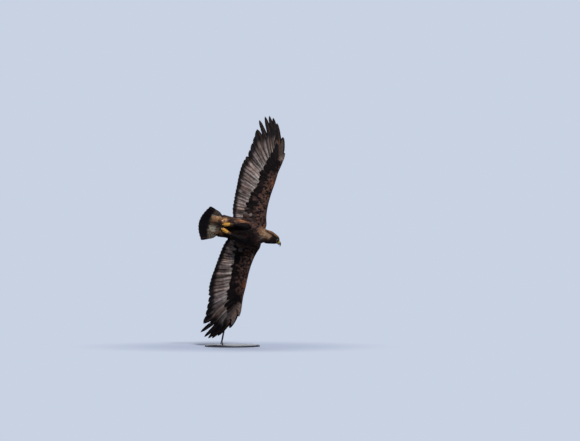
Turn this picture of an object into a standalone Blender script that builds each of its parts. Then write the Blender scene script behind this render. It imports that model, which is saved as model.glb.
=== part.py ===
"""A life-size golden eagle in a steep banking turn, wings spread, held on a display stand.

The bird is built in its own frame: x towards the bill, y to its left, z out of its back, in
metres. An empty then banks it, left wing down, and sets it on the stand. The world origin is
the middle of the stand base's underside, with +Z up.
"""

import math
import random

import bmesh
import bpy
import numpy as np
from mathutils import Matrix, Vector

# The clear gap between neighbouring pieces
GAP = 0.0003
# Edges shorter than this, which cuts and unions leave, are closed up
SLIVER = 0.00002

# Bank and place of the bird on the stand
BANK_DEG = 85.0
NOSE_DOWN_DEG = 15.5
BIRD_AT = (0.10, -0.20, 1.05)

# Torso: x, z of the middle, half width, half height, from the rump to the base of the neck
TORSO = (
    (-0.140, 0.014, 0.096, 0.040),
    (-0.095, 0.002, 0.098, 0.060),
    (-0.020, -0.011, 0.099, 0.079),
    (0.060, -0.014, 0.100, 0.087),
    (0.120, -0.010, 0.094, 0.080),
    (0.165, -0.002, 0.086, 0.069),
)
TORSO_SIDES = 20
TORSO_STEPS = 10

# Head: the place of its own frame in the bird's, whose x is the way it faces and z its crown
HEAD_AT = (0.300, -0.010, 0.010)
HEAD_TURN_DEG = 20.0
HEAD_ROLL_DEG = 80.0
HEAD_NOD_DEG = 5.0
# Stations of the head: x forward, z of the middle, half width, half height
HEAD = (
    (-0.048, -0.026, 0.0480, 0.0650),
    (-0.028, -0.019, 0.0445, 0.0590),
    (-0.008, -0.011, 0.0395, 0.0520),
    (0.012, -0.005, 0.0335, 0.0420),
    (0.026, -0.003, 0.0255, 0.0315),
    (0.037, -0.003, 0.0170, 0.0205),
)
HEAD_SIDES = 22
HEAD_STEPS = 10
NECK_STEPS = 5
# How the neck's girth goes from the torso's to the head's: the higher, the sooner
NECK_NARROWS = 1.15
# Where the neck's curve is steered from, as a share of its length
NECK_STEER = 0.4
# Brow ridges over the eyes, and the flat crown
BROW_AT = (0.016, 0.0265, 0.0150)
BROW_PUSH = 0.0045
BROW_REACH = (0.013, 0.007, 0.0055)
CROWN_TOP = 0.0350
CROWN_GIVE = 0.4

# Eyes and the ring of lid round each, in the head's frame, for the left side
EYE_AT = (0.0170, 0.0232, 0.0040)
EYE_RADIUS = 0.0094
EYE_FORWARD_DEG = 20.0
LID_RADIUS = 0.0083
LID_THICK = 0.0020
LID_OUT = 0.0056

# Bill: pairs of top and bottom points, x and z in the head's frame, with half widths
BILL_UPPER = (
    ((0.0373, 0.0148), (0.0373, -0.0103), 0.0145),
    ((0.0470, 0.0138), (0.0480, -0.0115), 0.0128),
    ((0.0580, 0.0092), (0.0570, -0.0123), 0.0102),
    ((0.0680, 0.0004), (0.0640, -0.0133), 0.0074),
    ((0.0738, -0.0090), (0.0683, -0.0168), 0.0048),
    ((0.0758, -0.0185), (0.0716, -0.0230), 0.0025),
    ((0.0755, -0.0268), (0.0741, -0.0276), 0.0008),
)
BILL_LOWER = (
    ((0.0373, -0.0109), (0.0373, -0.0212), 0.0130),
    ((0.0475, -0.0122), (0.0475, -0.0217), 0.0113),
    ((0.0565, -0.0131), (0.0565, -0.0207), 0.0086),
    ((0.0620, -0.0145), (0.0620, -0.0188), 0.0046),
)
BILL_SIDES = 14
UPPER_WIDEST = 0.28
LOWER_WIDEST = 0.72
NOSTRIL_AT = (0.0445, 0.0130, 0.0040)
NOSTRIL_SIZE = (0.0036, 0.0022, 0.0020)
NOSTRIL_SLANT_DEG = 35.0

# Wings, by distance out from the midline
SHOULDER_Z = 0.045
SHOULDER_OUT = 0.09
WING_RISE_DEG = 8.0
TIP_CURL = 0.39
CURL_FROM = 0.55
CAMBER = 0.35
CAMBER_MIDDLE = 0.06
# The left wing is swept a little further back than the right, and held a little narrower
SWEEP_DEG = {-1: 0.0, 1: -0.4}
BREADTH = {-1: 1.015, 1: 0.980}
BREADTH_FROM = 0.12
# Leading edge: distance out, x
LEADING_EDGE = (
    (0.04, 0.186),
    (0.11, 0.190),
    (0.16, 0.174),
    (0.27, 0.157),
    (0.36, 0.155),
    (0.50, 0.163),
    (0.60, 0.165),
    (0.68, 0.175),
    (0.74, 0.178),
    (0.78, 0.174),
)
# Rear edge of the fleshy arm and hand under the coverts: distance out, x
ARM_REAR = (
    (0.04, -0.030),
    (0.14, 0.000),
    (0.30, 0.025),
    (0.53, 0.070),
    (0.66, 0.115),
    (0.72, 0.138),
    (0.78, 0.162),
)
# Half of the arm's greatest thickness: distance out, half thickness
ARM_HALF_THICK = ((0.04, 0.026), (0.14, 0.019), (0.28, 0.015), (0.50, 0.0115), (0.62, 0.0105), (0.78, 0.008))
ARM_STATIONS = (0.04, 0.09, 0.14, 0.20, 0.29, 0.38, 0.46, 0.53, 0.60, 0.66, 0.72, 0.78)
CHORD_PLACES = (0.0, 0.05, 0.18, 0.40, 0.65, 0.86, 1.0)
REAR_HALF_THICK = 0.0008
# The hand narrows to this share of its section at its tip, from this distance out
HAND_TAPER_FROM = 0.66
HAND_TIP_SHARE = 0.22

# Half of a feather's thickness
VANE_HALF = 0.0004
# Flight feathers: how far the roots sink into the arm, and the height between neighbours
ROOT_SINK = 0.016
SHINGLE = 0.0017
# Half of the height that the layer of flight feathers takes behind the arm
FLIGHT_LAYER = 0.0024

SECONDARIES = 17
SECONDARY_ROOTS = (0.135, 0.505)
SECONDARY_TIPS = (0.105, 0.602)
# Trailing edge that the secondaries' tips make: distance out, x
TRAILING_EDGE = (
    (0.10, -0.120),
    (0.16, -0.141),
    (0.26, -0.154),
    (0.40, -0.163),
    (0.52, -0.171),
    (0.62, -0.169),
)
SECONDARY_WIDTH = 0.060
# Share of the length, then widths before and behind the shaft as shares of the whole width
SECONDARY_SHAPE = (
    (0.0, 0.06, 0.08),
    (0.16, 0.26, 0.40),
    (0.50, 0.34, 0.62),
    (0.80, 0.35, 0.63),
    (0.94, 0.26, 0.46),
    (1.0, 0.07, 0.14),
)

PRIMARY_ROOTS = (0.530, 0.708)
# Primaries from the innermost to the outermost: x and distance out of each tip
PRIMARY_TIPS = (
    (-0.151, 0.672),
    (-0.141, 0.752),
    (-0.134, 0.825),
    (-0.129, 0.900),
    (-0.124, 0.992),
    (-0.084, 1.036),
    (-0.050, 1.052),
    (-0.013, 1.044),
    (0.033, 1.008),
    (0.119, 0.908),
)
PRIMARY_WIDTH = 0.070
PRIMARY_SHAPE = (
    (0.0, 0.06, 0.06),
    (0.12, 0.20, 0.36),
    (0.40, 0.27, 0.66),
    (0.70, 0.27, 0.66),
    (0.93, 0.22, 0.48),
    (1.0, 0.05, 0.12),
)
# The outer primaries narrow to fingers
FIRST_FINGER = 4
FINGER_SHAPE = (
    (0.0, 0.06, 0.06),
    (0.12, 0.20, 0.36),
    (0.36, 0.27, 0.68),
    (0.58, 0.26, 0.68),
    (0.68, 0.23, 0.44),
    (0.92, 0.20, 0.34),
    (1.0, 0.05, 0.10),
)
PRIMARY_BOW = 0.045
SECONDARY_BOW = 0.02

# Rows of coverts on each face of a wing: count, first and last root out, share of the arm's
# chord at the root, lengths on the arm and on the hand, width, height over the layer below
COVERT_ROWS = (
    (13, 0.120, 0.700, 0.72, 0.100, 0.108, 0.056, 0.0026),
    (10, 0.125, 0.670, 0.50, 0.082, 0.064, 0.056, 0.0050),
    (6, 0.125, 0.640, 0.20, 0.066, 0.048, 0.056, 0.0034),
)
COVERT_SINK = 0.0034
COVERT_TILT = 0.036
# Share of its length by which a covert has come out of the arm
COVERT_OUT_BY = 0.3
GREATER_SHAPE = ((0.0, 0.12, 0.12), (0.26, 0.36, 0.36), (0.80, 0.48, 0.48), (1.0, 0.14, 0.14))
LESSER_SHAPE = ((0.0, 0.14, 0.14), (0.62, 0.48, 0.48), (1.0, 0.16, 0.16))
# Each feather's length and width vary by up to this share
VARIES = 0.04

# Tail
TAIL_ROOT = (-0.140, 0.0, 0.014)
TAIL_LEAN_DEG = 5.0
TAIL_SIDES = 18
TAIL_CORE = ((0.0, 0.096, 0.040), (0.04, 0.098, 0.027), (0.085, 0.100, 0.013), (0.12, 0.096, 0.0035))
# Tail feathers, counted from the middle pair outwards: places behind the tail's root and across
TAIL_PAIRS = 6
TAIL_FROM = 0.085
TAIL_FROM_ACROSS = (0.006, 0.108)
TAIL_TIPS_ACROSS = (0.0130, 0.1600)
TAIL_LENGTHS = (0.271, 0.218)
TAIL_ROUNDED = 1.7
TAIL_WIDTH = 0.054
TAIL_LAYER = 0.0013
TAIL_ARCH = 0.5
# Coverts over and under the tail: count, first and last place across, length, width, tip's height
TAIL_COVERTS = ((6, 0.054, 0.105, 0.050, 0.0058), (6, 0.052, 0.125, 0.052, 0.0125))
TAIL_COVERTS_FROM = 0.050
# Height of a covert's root at the middle and its drop at the sides, the share of its length by
# which it has risen, and how far it spreads sideways
TAIL_COVERT_ROOT = 0.022
TAIL_COVERT_DROP = 0.012
TAIL_COVERT_RISEN = 0.7
TAIL_COVERT_SPREAD = 1.5

# Legs, for the left side: places in the bird's frame with radii, from the thigh to the ankle
LEG_PATH = (
    (0.060, 0.052, -0.058),
    (0.015, 0.056, -0.080),
    (-0.028, 0.055, -0.094),
    (-0.050, 0.052, -0.0960),
    (-0.090, 0.046, -0.0910),
    (-0.126, 0.038, -0.0820),
)
LEG_RADII = (0.030, 0.033, 0.025, 0.0200, 0.0148, 0.0128)
# Stem of the foot: distance behind the leg's end, radius
FOOT_STEM = ((0.0, 0.0115), (0.008, 0.0125), (0.017, 0.0090))
TOES_FROM = 0.008
# Toes: name, shift of the root sideways and up, sideways angle, rise at root and tip, length,
# radius, claw's length, claw's last rise
TOES = (
    ("inner", -0.0092, -0.0021, -21.0, -10.0, 14.0, 0.044, 0.0076, 0.034, 72.0),
    ("middle", -0.0003, -0.0052, -16.0, -12.0, 12.0, 0.058, 0.0080, 0.030, 66.0),
    ("outer", 0.0089, -0.0018, -11.0, -10.0, 14.0, 0.046, 0.0072, 0.026, 70.0),
    ("hind", -0.0020, 0.0085, -18.0, 60.0, 36.0, 0.027, 0.0082, 0.040, -24.0),
)
TOE_SHAPE = (0.92, 1.0, 0.88, 0.94, 0.72)
CLAW_BASE = 0.62
CLAW_SHAPE = (1.0, 0.90, 0.70, 0.48, 0.28, 0.10)

# Stand: a round base plate and one bent rod up to the middle of the back
BASE_RADIUS = 0.25
BASE_THICK = 0.016
BASE_EDGE = 0.003
ROD_RADIUS = 0.008
ROD_BACK_X = 0.0
ROD_ELBOW_Z = 0.150
ROD_BEND = 0.045
ROD_BEND_STEPS = 8
ROD_FOOT = (-0.100, 0.150)
# The rod starts this far above the middle of the torso, inside it, until it is cut off
ROD_STARTS_IN = 0.03
# Length of its last stretch, which stands upright on the base
ROD_UPRIGHT = 0.02

# Colours, linear
PLUMAGE = (0.045, 0.030, 0.024)
FLIGHT = (0.022, 0.016, 0.015)
GOLDEN = (0.36, 0.20, 0.085)
YELLOW = (0.72, 0.42, 0.06)
HORN = (0.03, 0.03, 0.035)
AMBER = (0.25, 0.10, 0.02)
STEEL = (0.10, 0.10, 0.11)


def group_of(name):
    made = bpy.data.collections.new(name)
    bpy.context.scene.collection.children.link(made)
    return made


def move_to(obj, group):
    for home in list(obj.users_collection):
        home.objects.unlink(obj)
    group.objects.link(obj)
    return obj


def material(name, colour, roughness, metallic=0.0):
    made = bpy.data.materials.new(name)
    made.use_nodes = True
    shader = made.node_tree.nodes["Principled BSDF"]
    shader.inputs["Base Color"].default_value = (*colour, 1.0)
    shader.inputs["Roughness"].default_value = roughness
    shader.inputs["Metallic"].default_value = metallic
    return made


def along(keys, t):
    """The smooth curve through keys of (place, value, ...), read at t, as an array of the values."""
    keys = np.array(keys, float)
    places, values = keys[:, 0], keys[:, 1:]
    t = min(max(t, places[0]), places[-1])
    i = min(int(np.searchsorted(places, t, side="right")) - 1, len(places) - 2)
    width = places[i + 1] - places[i]
    slopes = np.gradient(values, places, axis=0)
    s = (t - places[i]) / width
    return (
        values[i] * (2 * s**3 - 3 * s**2 + 1)
        + values[i + 1] * (3 * s**2 - 2 * s**3)
        + slopes[i] * width * (s**3 - 2 * s**2 + s)
        + slopes[i + 1] * width * (s**3 - s**2)
    )


def smoothstep(a, b, t):
    s = min(max((t - a) / (b - a), 0.0), 1.0)
    return s * s * (3 - 2 * s)


def linked(name, mesh):
    obj = bpy.data.objects.new(name, mesh)
    bpy.context.scene.collection.objects.link(obj)
    return obj


def closed_mesh(name, points, faces):
    """A mesh of the faces, turned to look outwards."""
    mesh = bpy.data.meshes.new(name)
    mesh.from_pydata(points, [], faces)
    shape = bmesh.new()
    shape.from_mesh(mesh)
    bmesh.ops.recalc_face_normals(shape, faces=shape.faces)
    shape.to_mesh(mesh)
    shape.free()
    return mesh


def loft(name, rings):
    """A closed body through rings of equal count, each end closed by a fan about its middle."""
    count = len(rings[0])
    points = [tuple(p) for one in rings for p in one]
    faces = []
    for r in range(len(rings) - 1):
        for k in range(count):
            a, b = r * count + k, r * count + (k + 1) % count
            faces += [(a, b, b + count), (a, b + count, a + count)]
    for r in (0, len(rings) - 1):
        middle = len(points)
        points.append(tuple(np.mean(rings[r], axis=0)))
        faces += [(r * count + k, r * count + (k + 1) % count, middle) for k in range(count)]
    return linked(name, closed_mesh(name, points, faces))


def oval(middle, side, up, half_width, top, bottom, count, first_angle=0.0):
    """Points round an oval that reaches top above its middle and bottom below it."""
    middle, side, up = np.array(middle), np.array(side), np.array(up)
    points = []
    for k in range(count):
        angle = first_angle + 2 * math.pi * k / count
        rise = math.sin(angle)
        reach = top if rise > 0 else bottom
        points.append(middle + side * half_width * math.cos(angle) + up * reach * rise)
    return points


def baked(obj):
    """Gives obj the mesh that its modifiers make of it."""
    bpy.context.view_layer.update()
    graph = bpy.context.evaluated_depsgraph_get()
    mesh = bpy.data.meshes.new_from_object(obj.evaluated_get(graph))
    obj.modifiers.clear()
    obj.data = mesh
    return obj


def tube(name, path, radii, roundness):
    """A round body along path with a radius at each point: a capped curve made into a mesh."""
    curve = bpy.data.curves.new(name, "CURVE")
    curve.dimensions = "3D"
    curve.bevel_depth = 1.0
    curve.bevel_resolution = roundness
    curve.use_fill_caps = True
    curve.twist_mode = "MINIMUM"
    spline = curve.splines.new("POLY")
    spline.points.add(len(path) - 1)
    for point, place, radius in zip(spline.points, path, radii):
        point.co = (*place, 1.0)
        point.radius = radius
    drawn = linked(name, curve)
    bpy.context.view_layer.update()
    graph = bpy.context.evaluated_depsgraph_get()
    mesh = bpy.data.meshes.new_from_object(drawn.evaluated_get(graph))
    bpy.data.objects.remove(drawn)
    shape = bmesh.new()
    shape.from_mesh(mesh)
    bmesh.ops.remove_doubles(shape, verts=shape.verts, dist=1e-6)
    bmesh.ops.recalc_face_normals(shape, faces=shape.faces)
    shape.to_mesh(mesh)
    shape.free()
    return linked(name, mesh)


def ellipsoid(name, at, size, slant=None, segments=14, rings=8):
    shape = bmesh.new()
    bmesh.ops.create_uvsphere(shape, u_segments=segments, v_segments=rings, radius=1.0)
    place = Matrix.Translation(at) @ (slant or Matrix.Identity(4)) @ Matrix.Diagonal((*size, 1))
    bmesh.ops.transform(shape, matrix=place, verts=shape.verts)
    mesh = bpy.data.meshes.new(name)
    shape.to_mesh(mesh)
    shape.free()
    return linked(name, mesh)


def keep_largest(obj):
    """Leaves only the closed surface that spans the most, so scraps and sealed hollows go."""
    shape = bmesh.new()
    shape.from_mesh(obj.data)
    left = set(shape.verts)
    groups = []
    while left:
        start = left.pop()
        found, front = [start], [start]
        while front:
            vert = front.pop()
            for edge in vert.link_edges:
                other = edge.other_vert(vert)
                if other in left:
                    left.remove(other)
                    found.append(other)
                    front.append(other)
        groups.append(found)

    def span(group):
        places = np.array([v.co for v in group])
        return float(np.linalg.norm(places.max(0) - places.min(0)))

    groups.sort(key=span, reverse=True)
    for group in groups[1:]:
        bmesh.ops.delete(shape, geom=group, context="VERTS")
    bmesh.ops.triangulate(shape, faces=shape.faces)
    shape.to_mesh(obj.data)
    bmesh.ops.dissolve_degenerate(shape, edges=shape.edges, dist=SLIVER)
    bmesh.ops.triangulate(shape, faces=shape.faces)
    if all(edge.is_manifold for edge in shape.edges):
        shape.to_mesh(obj.data)
    shape.free()


def join(base, pieces):
    """Fuses pieces into base by one Boolean union and removes them."""
    group = group_of("fused")
    for piece in pieces:
        move_to(piece, group)
    fuse = base.modifiers.new("fuse", "BOOLEAN")
    fuse.operation = "UNION"
    fuse.operand_type = "COLLECTION"
    fuse.collection = group
    fuse.solver = "MANIFOLD"
    baked(base)
    for piece in pieces:
        bpy.data.objects.remove(piece)
    bpy.data.collections.remove(group)
    keep_largest(base)
    return base


def cut(base, cutters):
    """Takes each cutter out of base."""
    for cutter in cutters:
        trim = base.modifiers.new("trim", "BOOLEAN")
        trim.operation = "DIFFERENCE"
        trim.object = cutter
        trim.solver = "MANIFOLD"
    baked(base)
    keep_largest(base)
    return base


def as_cutter(obj):
    obj.hide_render = True
    obj.display_type = "WIRE"
    return move_to(obj, bpy.data.collections["cutters"])


def finish(obj, look, parent=None):
    """Gives a piece its material and smooth shading, and sets it under the bird's empty."""
    obj.data.materials.clear()
    obj.data.materials.append(look)
    obj.data.shade_smooth()
    obj.data.set_sharp_from_angle(angle=math.radians(40))
    obj.parent = parent
    return move_to(obj, bpy.data.collections["golden_eagle"])


def torso_rings(grow=0.0):
    first, last = TORSO[0][0] - grow, TORSO[-1][0] + grow
    rings = []
    for k in range(TORSO_STEPS + 1):
        x = first + (last - first) * k / TORSO_STEPS
        z, half_width, half_height = along(TORSO, x)
        half_width += grow
        half_height += grow
        middle = (x, 0, z)
        rings.append(oval(middle, (0, 1, 0), (0, 0, 1), half_width, half_height, half_height, TORSO_SIDES))
    return rings


def head_frame():
    """The head's own axes in the bird's frame."""
    turn = Matrix.Rotation(math.radians(HEAD_TURN_DEG), 4, "Z")
    roll = Matrix.Rotation(math.radians(HEAD_ROLL_DEG), 4, "X")
    nod = Matrix.Rotation(math.radians(HEAD_NOD_DEG), 4, "Y")
    return Matrix.Translation(HEAD_AT) @ turn @ roll @ nod


def head_point(place):
    """A point of the plain head, moved out at the brow ridges and pressed down on the crown."""
    x, y, z = place
    for side in (-1, 1):
        away = ((x - BROW_AT[0]) / BROW_REACH[0], (side * y - BROW_AT[1]) / BROW_REACH[1],
                (z - BROW_AT[2]) / BROW_REACH[2])
        push = BROW_PUSH * math.exp(-sum(a * a for a in away))
        y += side * push
    if z > CROWN_TOP:
        z = CROWN_TOP + CROWN_GIVE * (z - CROWN_TOP)
    return (x, y, z)


def head_rings():
    first, last = HEAD[0][0], HEAD[-1][0]
    rings = []
    for k in range(HEAD_STEPS + 1):
        x = first + (last - first) * k / HEAD_STEPS
        z, half_width, half_height = along(HEAD, x)
        plain = oval((x, 0, z), (0, 1, 0), (0, 0, 1), half_width, half_height, half_height, HEAD_SIDES)
        rings.append([head_point(p) for p in plain])
    return rings


def neck_rings(grow=0.0):
    """Rings from the torso's front face to the head's back face.

    Their ovals roll with the head, while the points round them stay in line, so nothing twists.
    """
    frame = head_frame()
    back_x, back_z, head_half_width, head_half_height = HEAD[0]
    torso_x, torso_z, torso_half_width, torso_half_height = TORSO[-1]
    start = Vector((torso_x + GAP, 0, torso_z))
    end = frame @ Vector((back_x - GAP, 0, back_z))
    end_way = (frame.to_3x3() @ Vector((1, 0, 0))).normalized()
    reach = (end - start).length * NECK_STEER
    second, third = start + Vector((reach, 0, 0)), end - end_way * reach
    rings = []
    for k in range(NECK_STEPS + 1):
        t = k / NECK_STEPS
        s = 1 - t
        middle = start * s**3 + second * 3 * t * s * s + third * 3 * s * t * t + end * t**3
        way = (Vector((1, 0, 0)) * s + end_way * t).normalized()
        roll = math.radians(HEAD_ROLL_DEG) * t
        up = Matrix.Rotation(roll, 3, way) @ Vector((0, 0, 1))
        up = (up - way * up.dot(way)).normalized()
        side = up.cross(way)
        share = 1 - s**NECK_NARROWS
        half_width = torso_half_width + (head_half_width - torso_half_width) * share + grow
        half_height = torso_half_height + (head_half_height - torso_half_height) * share + grow
        rings.append(oval(middle, side, up, half_width, half_height, half_height, HEAD_SIDES, -roll))
    return rings


def neck_cutter_rings():
    """The neck's rings grown by the gap, with one more that reaches back into the torso."""
    rings = neck_rings(GAP)
    rings.insert(0, [p - np.array((3 * GAP, 0, 0)) for p in rings[0]])
    return rings


def bill_half(name, stations, widest):
    """Half a bill through pairs of top and bottom points; widest is the share of the way up."""
    rings = []
    for top, bottom, half_width in stations:
        top, bottom = Vector((top[0], 0, top[1])), Vector((bottom[0], 0, bottom[1]))
        middle = bottom.lerp(top, widest)
        up = (top - bottom).normalized()
        rings.append(oval(middle, (0, 1, 0), up, half_width, (top - middle).length,
                          (middle - bottom).length, BILL_SIDES))
    return loft(name, rings)


def eyelid(side):
    """The ring of lid round an eye, which faces out and a little forwards."""
    bpy.ops.mesh.primitive_torus_add(
        major_segments=14, minor_segments=5, major_radius=LID_RADIUS, minor_radius=LID_THICK
    )
    lid = bpy.context.active_object
    stand_up = Matrix.Rotation(math.radians(-side * 90), 4, "X")
    swing = Matrix.Rotation(math.radians(-side * EYE_FORWARD_DEG), 4, "Z")
    out = swing @ Vector((0, side, 0))
    at = Vector((EYE_AT[0], side * EYE_AT[1], EYE_AT[2])) + out * LID_OUT
    lid.data.transform(Matrix.Translation(at) @ swing @ stand_up)
    return lid


def build_head(looks, parent):
    both = (("right", -1), ("left", 1))
    head = loft("head", head_rings())
    join(head, [eyelid(side) for _, side in both])
    sockets = [
        ellipsoid("socket", (EYE_AT[0], side * EYE_AT[1], EYE_AT[2]), (EYE_RADIUS + GAP,) * 3)
        for _, side in both
    ]
    cut(head, sockets)
    upper = bill_half("bill_upper", BILL_UPPER, UPPER_WIDEST)
    slant = Matrix.Rotation(math.radians(NOSTRIL_SLANT_DEG), 4, "Y")
    x, y, z = NOSTRIL_AT
    nostrils = [ellipsoid("nostril", (x, side * y, z), NOSTRIL_SIZE, slant, 10, 6) for _, side in both]
    cut(upper, nostrils)
    for cutter in sockets + nostrils:
        bpy.data.objects.remove(cutter)
    lower = bill_half("bill_lower", BILL_LOWER, LOWER_WIDEST)
    eyes = [
        ellipsoid(f"eye_{name}", (EYE_AT[0], side * EYE_AT[1], EYE_AT[2]), (EYE_RADIUS,) * 3)
        for name, side in both
    ]
    pieces = [(head, "golden"), (upper, "horn"), (lower, "horn")] + [(eye, "eye") for eye in eyes]
    for obj, look in pieces:
        obj.data.transform(head_frame())
        finish(obj, looks[look], parent)


def wing_height(x, out):
    """Height of the wing's middle surface: it rises outwards, and curls up at the tip."""
    curl = max(0.0, out - CURL_FROM)
    return (
        SHOULDER_Z
        + math.tan(math.radians(WING_RISE_DEG)) * (out - SHOULDER_OUT)
        + TIP_CURL * curl**2
        - CAMBER * (x - CAMBER_MIDDLE) ** 2
    )


def wing_place(side, x, out, above):
    """A point of a wing in the bird's frame, at a height above the wing's middle surface."""
    swept = x + math.tan(math.radians(SWEEP_DEG[side])) * out
    swept = BREADTH_FROM + (swept - BREADTH_FROM) * BREADTH[side]
    return (swept, side * out, wing_height(x, out) + above)


def section_shape(t):
    """Half thickness of a wing section, from 0 at its front to 0 at its rear, at most 1."""
    return 5 * (0.5938 * math.sqrt(t) - 0.2520 * t - 0.7032 * t**2 + 0.5686 * t**3 - 0.2072 * t**4)


def wing_body(name, side, stations, front, rear, half_thick):
    """A wing body whose sections run from front(out) to rear(out)."""
    rings = []
    for out in stations:
        upper, lower = [], []
        for t in CHORD_PLACES:
            x = front(out) + (rear(out) - front(out)) * t
            half = half_thick(out) * section_shape(t) + REAR_HALF_THICK * t
            upper.append(wing_place(side, x, out, half))
            lower.append(wing_place(side, x, out, -half))
        rings.append([np.array(p) for p in upper + lower[:0:-1]])
    return loft(name, rings)


def arm_half_thick(out):
    taper = 1 - (1 - HAND_TIP_SHARE) * smoothstep(HAND_TAPER_FROM, ARM_STATIONS[-1], out)
    return float(along(ARM_HALF_THICK, out)[0]) * taper


def leading_edge(out):
    return float(along(LEADING_EDGE, out)[0])


def arm_rear(out):
    return float(along(ARM_REAR, out)[0])


def layer_height(x, out):
    """Half the thickness of the arm at a place, or of the layer of flight feathers behind it."""
    front, rear = leading_edge(out), arm_rear(out)
    share = (front - x) / (front - rear)
    if share >= 1 or out > ARM_STATIONS[-1]:
        return FLIGHT_LAYER
    share = max(share, 0.0)
    return max(FLIGHT_LAYER, arm_half_thick(out) * section_shape(share) + REAR_HALF_THICK * share)


def vane(place, root, tip, width, shape, bow, lift, tilt):
    """A thin tapered feather from root to tip, which place maps from a plan into space.

    Its shaft bows towards its front edge, which tilt raises over its rear edge, and lift gives
    the shaft's height. Both faces are split into triangles alike.
    """
    root, tip = Vector(root), Vector(tip)
    line = tip - root
    ahead = Vector((line.y, -line.x)).normalized()
    points = []
    for t, before, behind in shape:
        shaft = root + line * t + ahead * (bow * line.length * 4 * t * (1 - t))
        way = (line + ahead * (bow * line.length * 4 * (1 - 2 * t))).normalized()
        front_way = Vector((way.y, -way.x))
        for reach, rise in ((before, 1), (-behind, 1), (-behind, -1), (before, -1)):
            spot = shaft + front_way * reach * width
            height = lift(t, shaft) + tilt(t) * reach * width + rise * VANE_HALF
            points.append(place(spot.x, spot.y, height))
    faces = []
    for k in range(len(shape) - 1):
        a = 4 * k
        faces += [(a, a + 1, a + 5), (a, a + 5, a + 4)]
        faces += [(a + 1, a + 2, a + 6), (a + 1, a + 6, a + 5)]
        faces += [(a + 2, a + 3, a + 6), (a + 3, a + 7, a + 6)]
        faces += [(a + 3, a, a + 4), (a + 3, a + 4, a + 7)]
    for a in (0, 4 * (len(shape) - 1)):
        faces += [(a, a + 1, a + 2), (a, a + 2, a + 3)]
    return linked("vane", closed_mesh("vane", points, faces))


def spread(first, last, count):
    return [first + (last - first) * k / (count - 1) for k in range(count)]


def flight_feathers():
    """Root, tip, width, shape and bow of each flight feather of a wing, from the body outwards."""
    feathers = []
    for out, tip_out in zip(spread(*SECONDARY_ROOTS, SECONDARIES), spread(*SECONDARY_TIPS, SECONDARIES)):
        tip = (float(along(TRAILING_EDGE, tip_out)[0]), tip_out)
        root = (arm_rear(out) + ROOT_SINK, out)
        feathers.append((root, tip, SECONDARY_WIDTH, SECONDARY_SHAPE, SECONDARY_BOW))
    for k, (out, tip) in enumerate(zip(spread(*PRIMARY_ROOTS, len(PRIMARY_TIPS)), PRIMARY_TIPS)):
        shape = PRIMARY_SHAPE if k < FIRST_FINGER else FINGER_SHAPE
        root = (arm_rear(out) + ROOT_SINK, out)
        feathers.append((root, tip, PRIMARY_WIDTH, shape, PRIMARY_BOW))
    return feathers


def lie_at(feathers, out):
    """The way that the flight feathers rooted at out point, in plan."""
    outs = [root[1] for root, *_ in feathers]
    angles = [math.atan2(tip[1] - root[1], root[0] - tip[0]) for root, tip, *_ in feathers]
    angle = float(np.interp(out, outs, angles))
    return Vector((-math.cos(angle), math.sin(angle)))


def gaps_between(feathers):
    """The distance from each feather's shaft to the next, at its root and at its tip."""
    gaps = []
    for (root, tip, *_), (next_root, next_tip, *_) in zip(feathers, feathers[1:]):
        way = (Vector(tip) - Vector(root)).normalized()
        across = Vector((way.y, -way.x))
        pairs = ((root, next_root), (tip, next_tip))
        gaps.append([abs((Vector(b) - Vector(a)).dot(across)) for a, b in pairs])
    return gaps + gaps[-1:]


def build_wing(name, side, cutters, luck):
    """The fleshy arm and hand, with the flight feathers and rows of coverts on both faces."""

    def place(x, out, above):
        return wing_place(side, x, out, above)

    def varied(value):
        return value * (1 + VARIES * luck.uniform(-1, 1))

    arm = wing_body(name, side, ARM_STATIONS, leading_edge, arm_rear, arm_half_thick)
    feathers = flight_feathers()
    vanes = []
    for (root, tip, width, shape, bow), (root_gap, tip_gap) in zip(feathers, gaps_between(feathers)):

        def tilt(t, first=SHINGLE / root_gap, last=SHINGLE / max(tip_gap, root_gap)):
            return first + (last - first) * t

        vanes.append(vane(place, root, tip, varied(width), shape, bow, lambda t, spot: 0.0, tilt))
    for row, (count, first, last, share, arm_length, hand_length, width, over) in enumerate(COVERT_ROWS):
        shape = LESSER_SHAPE if row else GREATER_SHAPE
        for face in (1, -1):
            for out in spread(first, last, count):
                root = Vector((leading_edge(out) + (arm_rear(out) - leading_edge(out)) * share, out))
                length = arm_length + (hand_length - arm_length) * smoothstep(0.45, 0.60, out)
                tip = root + lie_at(feathers, out) * varied(length)

                def lift(t, spot, face=face, over=over):
                    rise = -COVERT_SINK + (over + COVERT_SINK) * smoothstep(0.0, COVERT_OUT_BY, t)
                    return face * (layer_height(spot.x, spot.y) + rise)

                vanes.append(vane(place, root, tip, varied(width), shape, 0.0, lift, lambda t: COVERT_TILT))
    join(arm, vanes)
    return cut(arm, cutters)


def tail_place(behind, across, above):
    """A point of the tail in the bird's frame: its axis leans towards the left wing."""
    root_x, root_y, root_z = TAIL_ROOT
    lean = math.tan(math.radians(TAIL_LEAN_DEG))
    return (root_x - GAP - behind, root_y + across + lean * behind, root_z + above)


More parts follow.
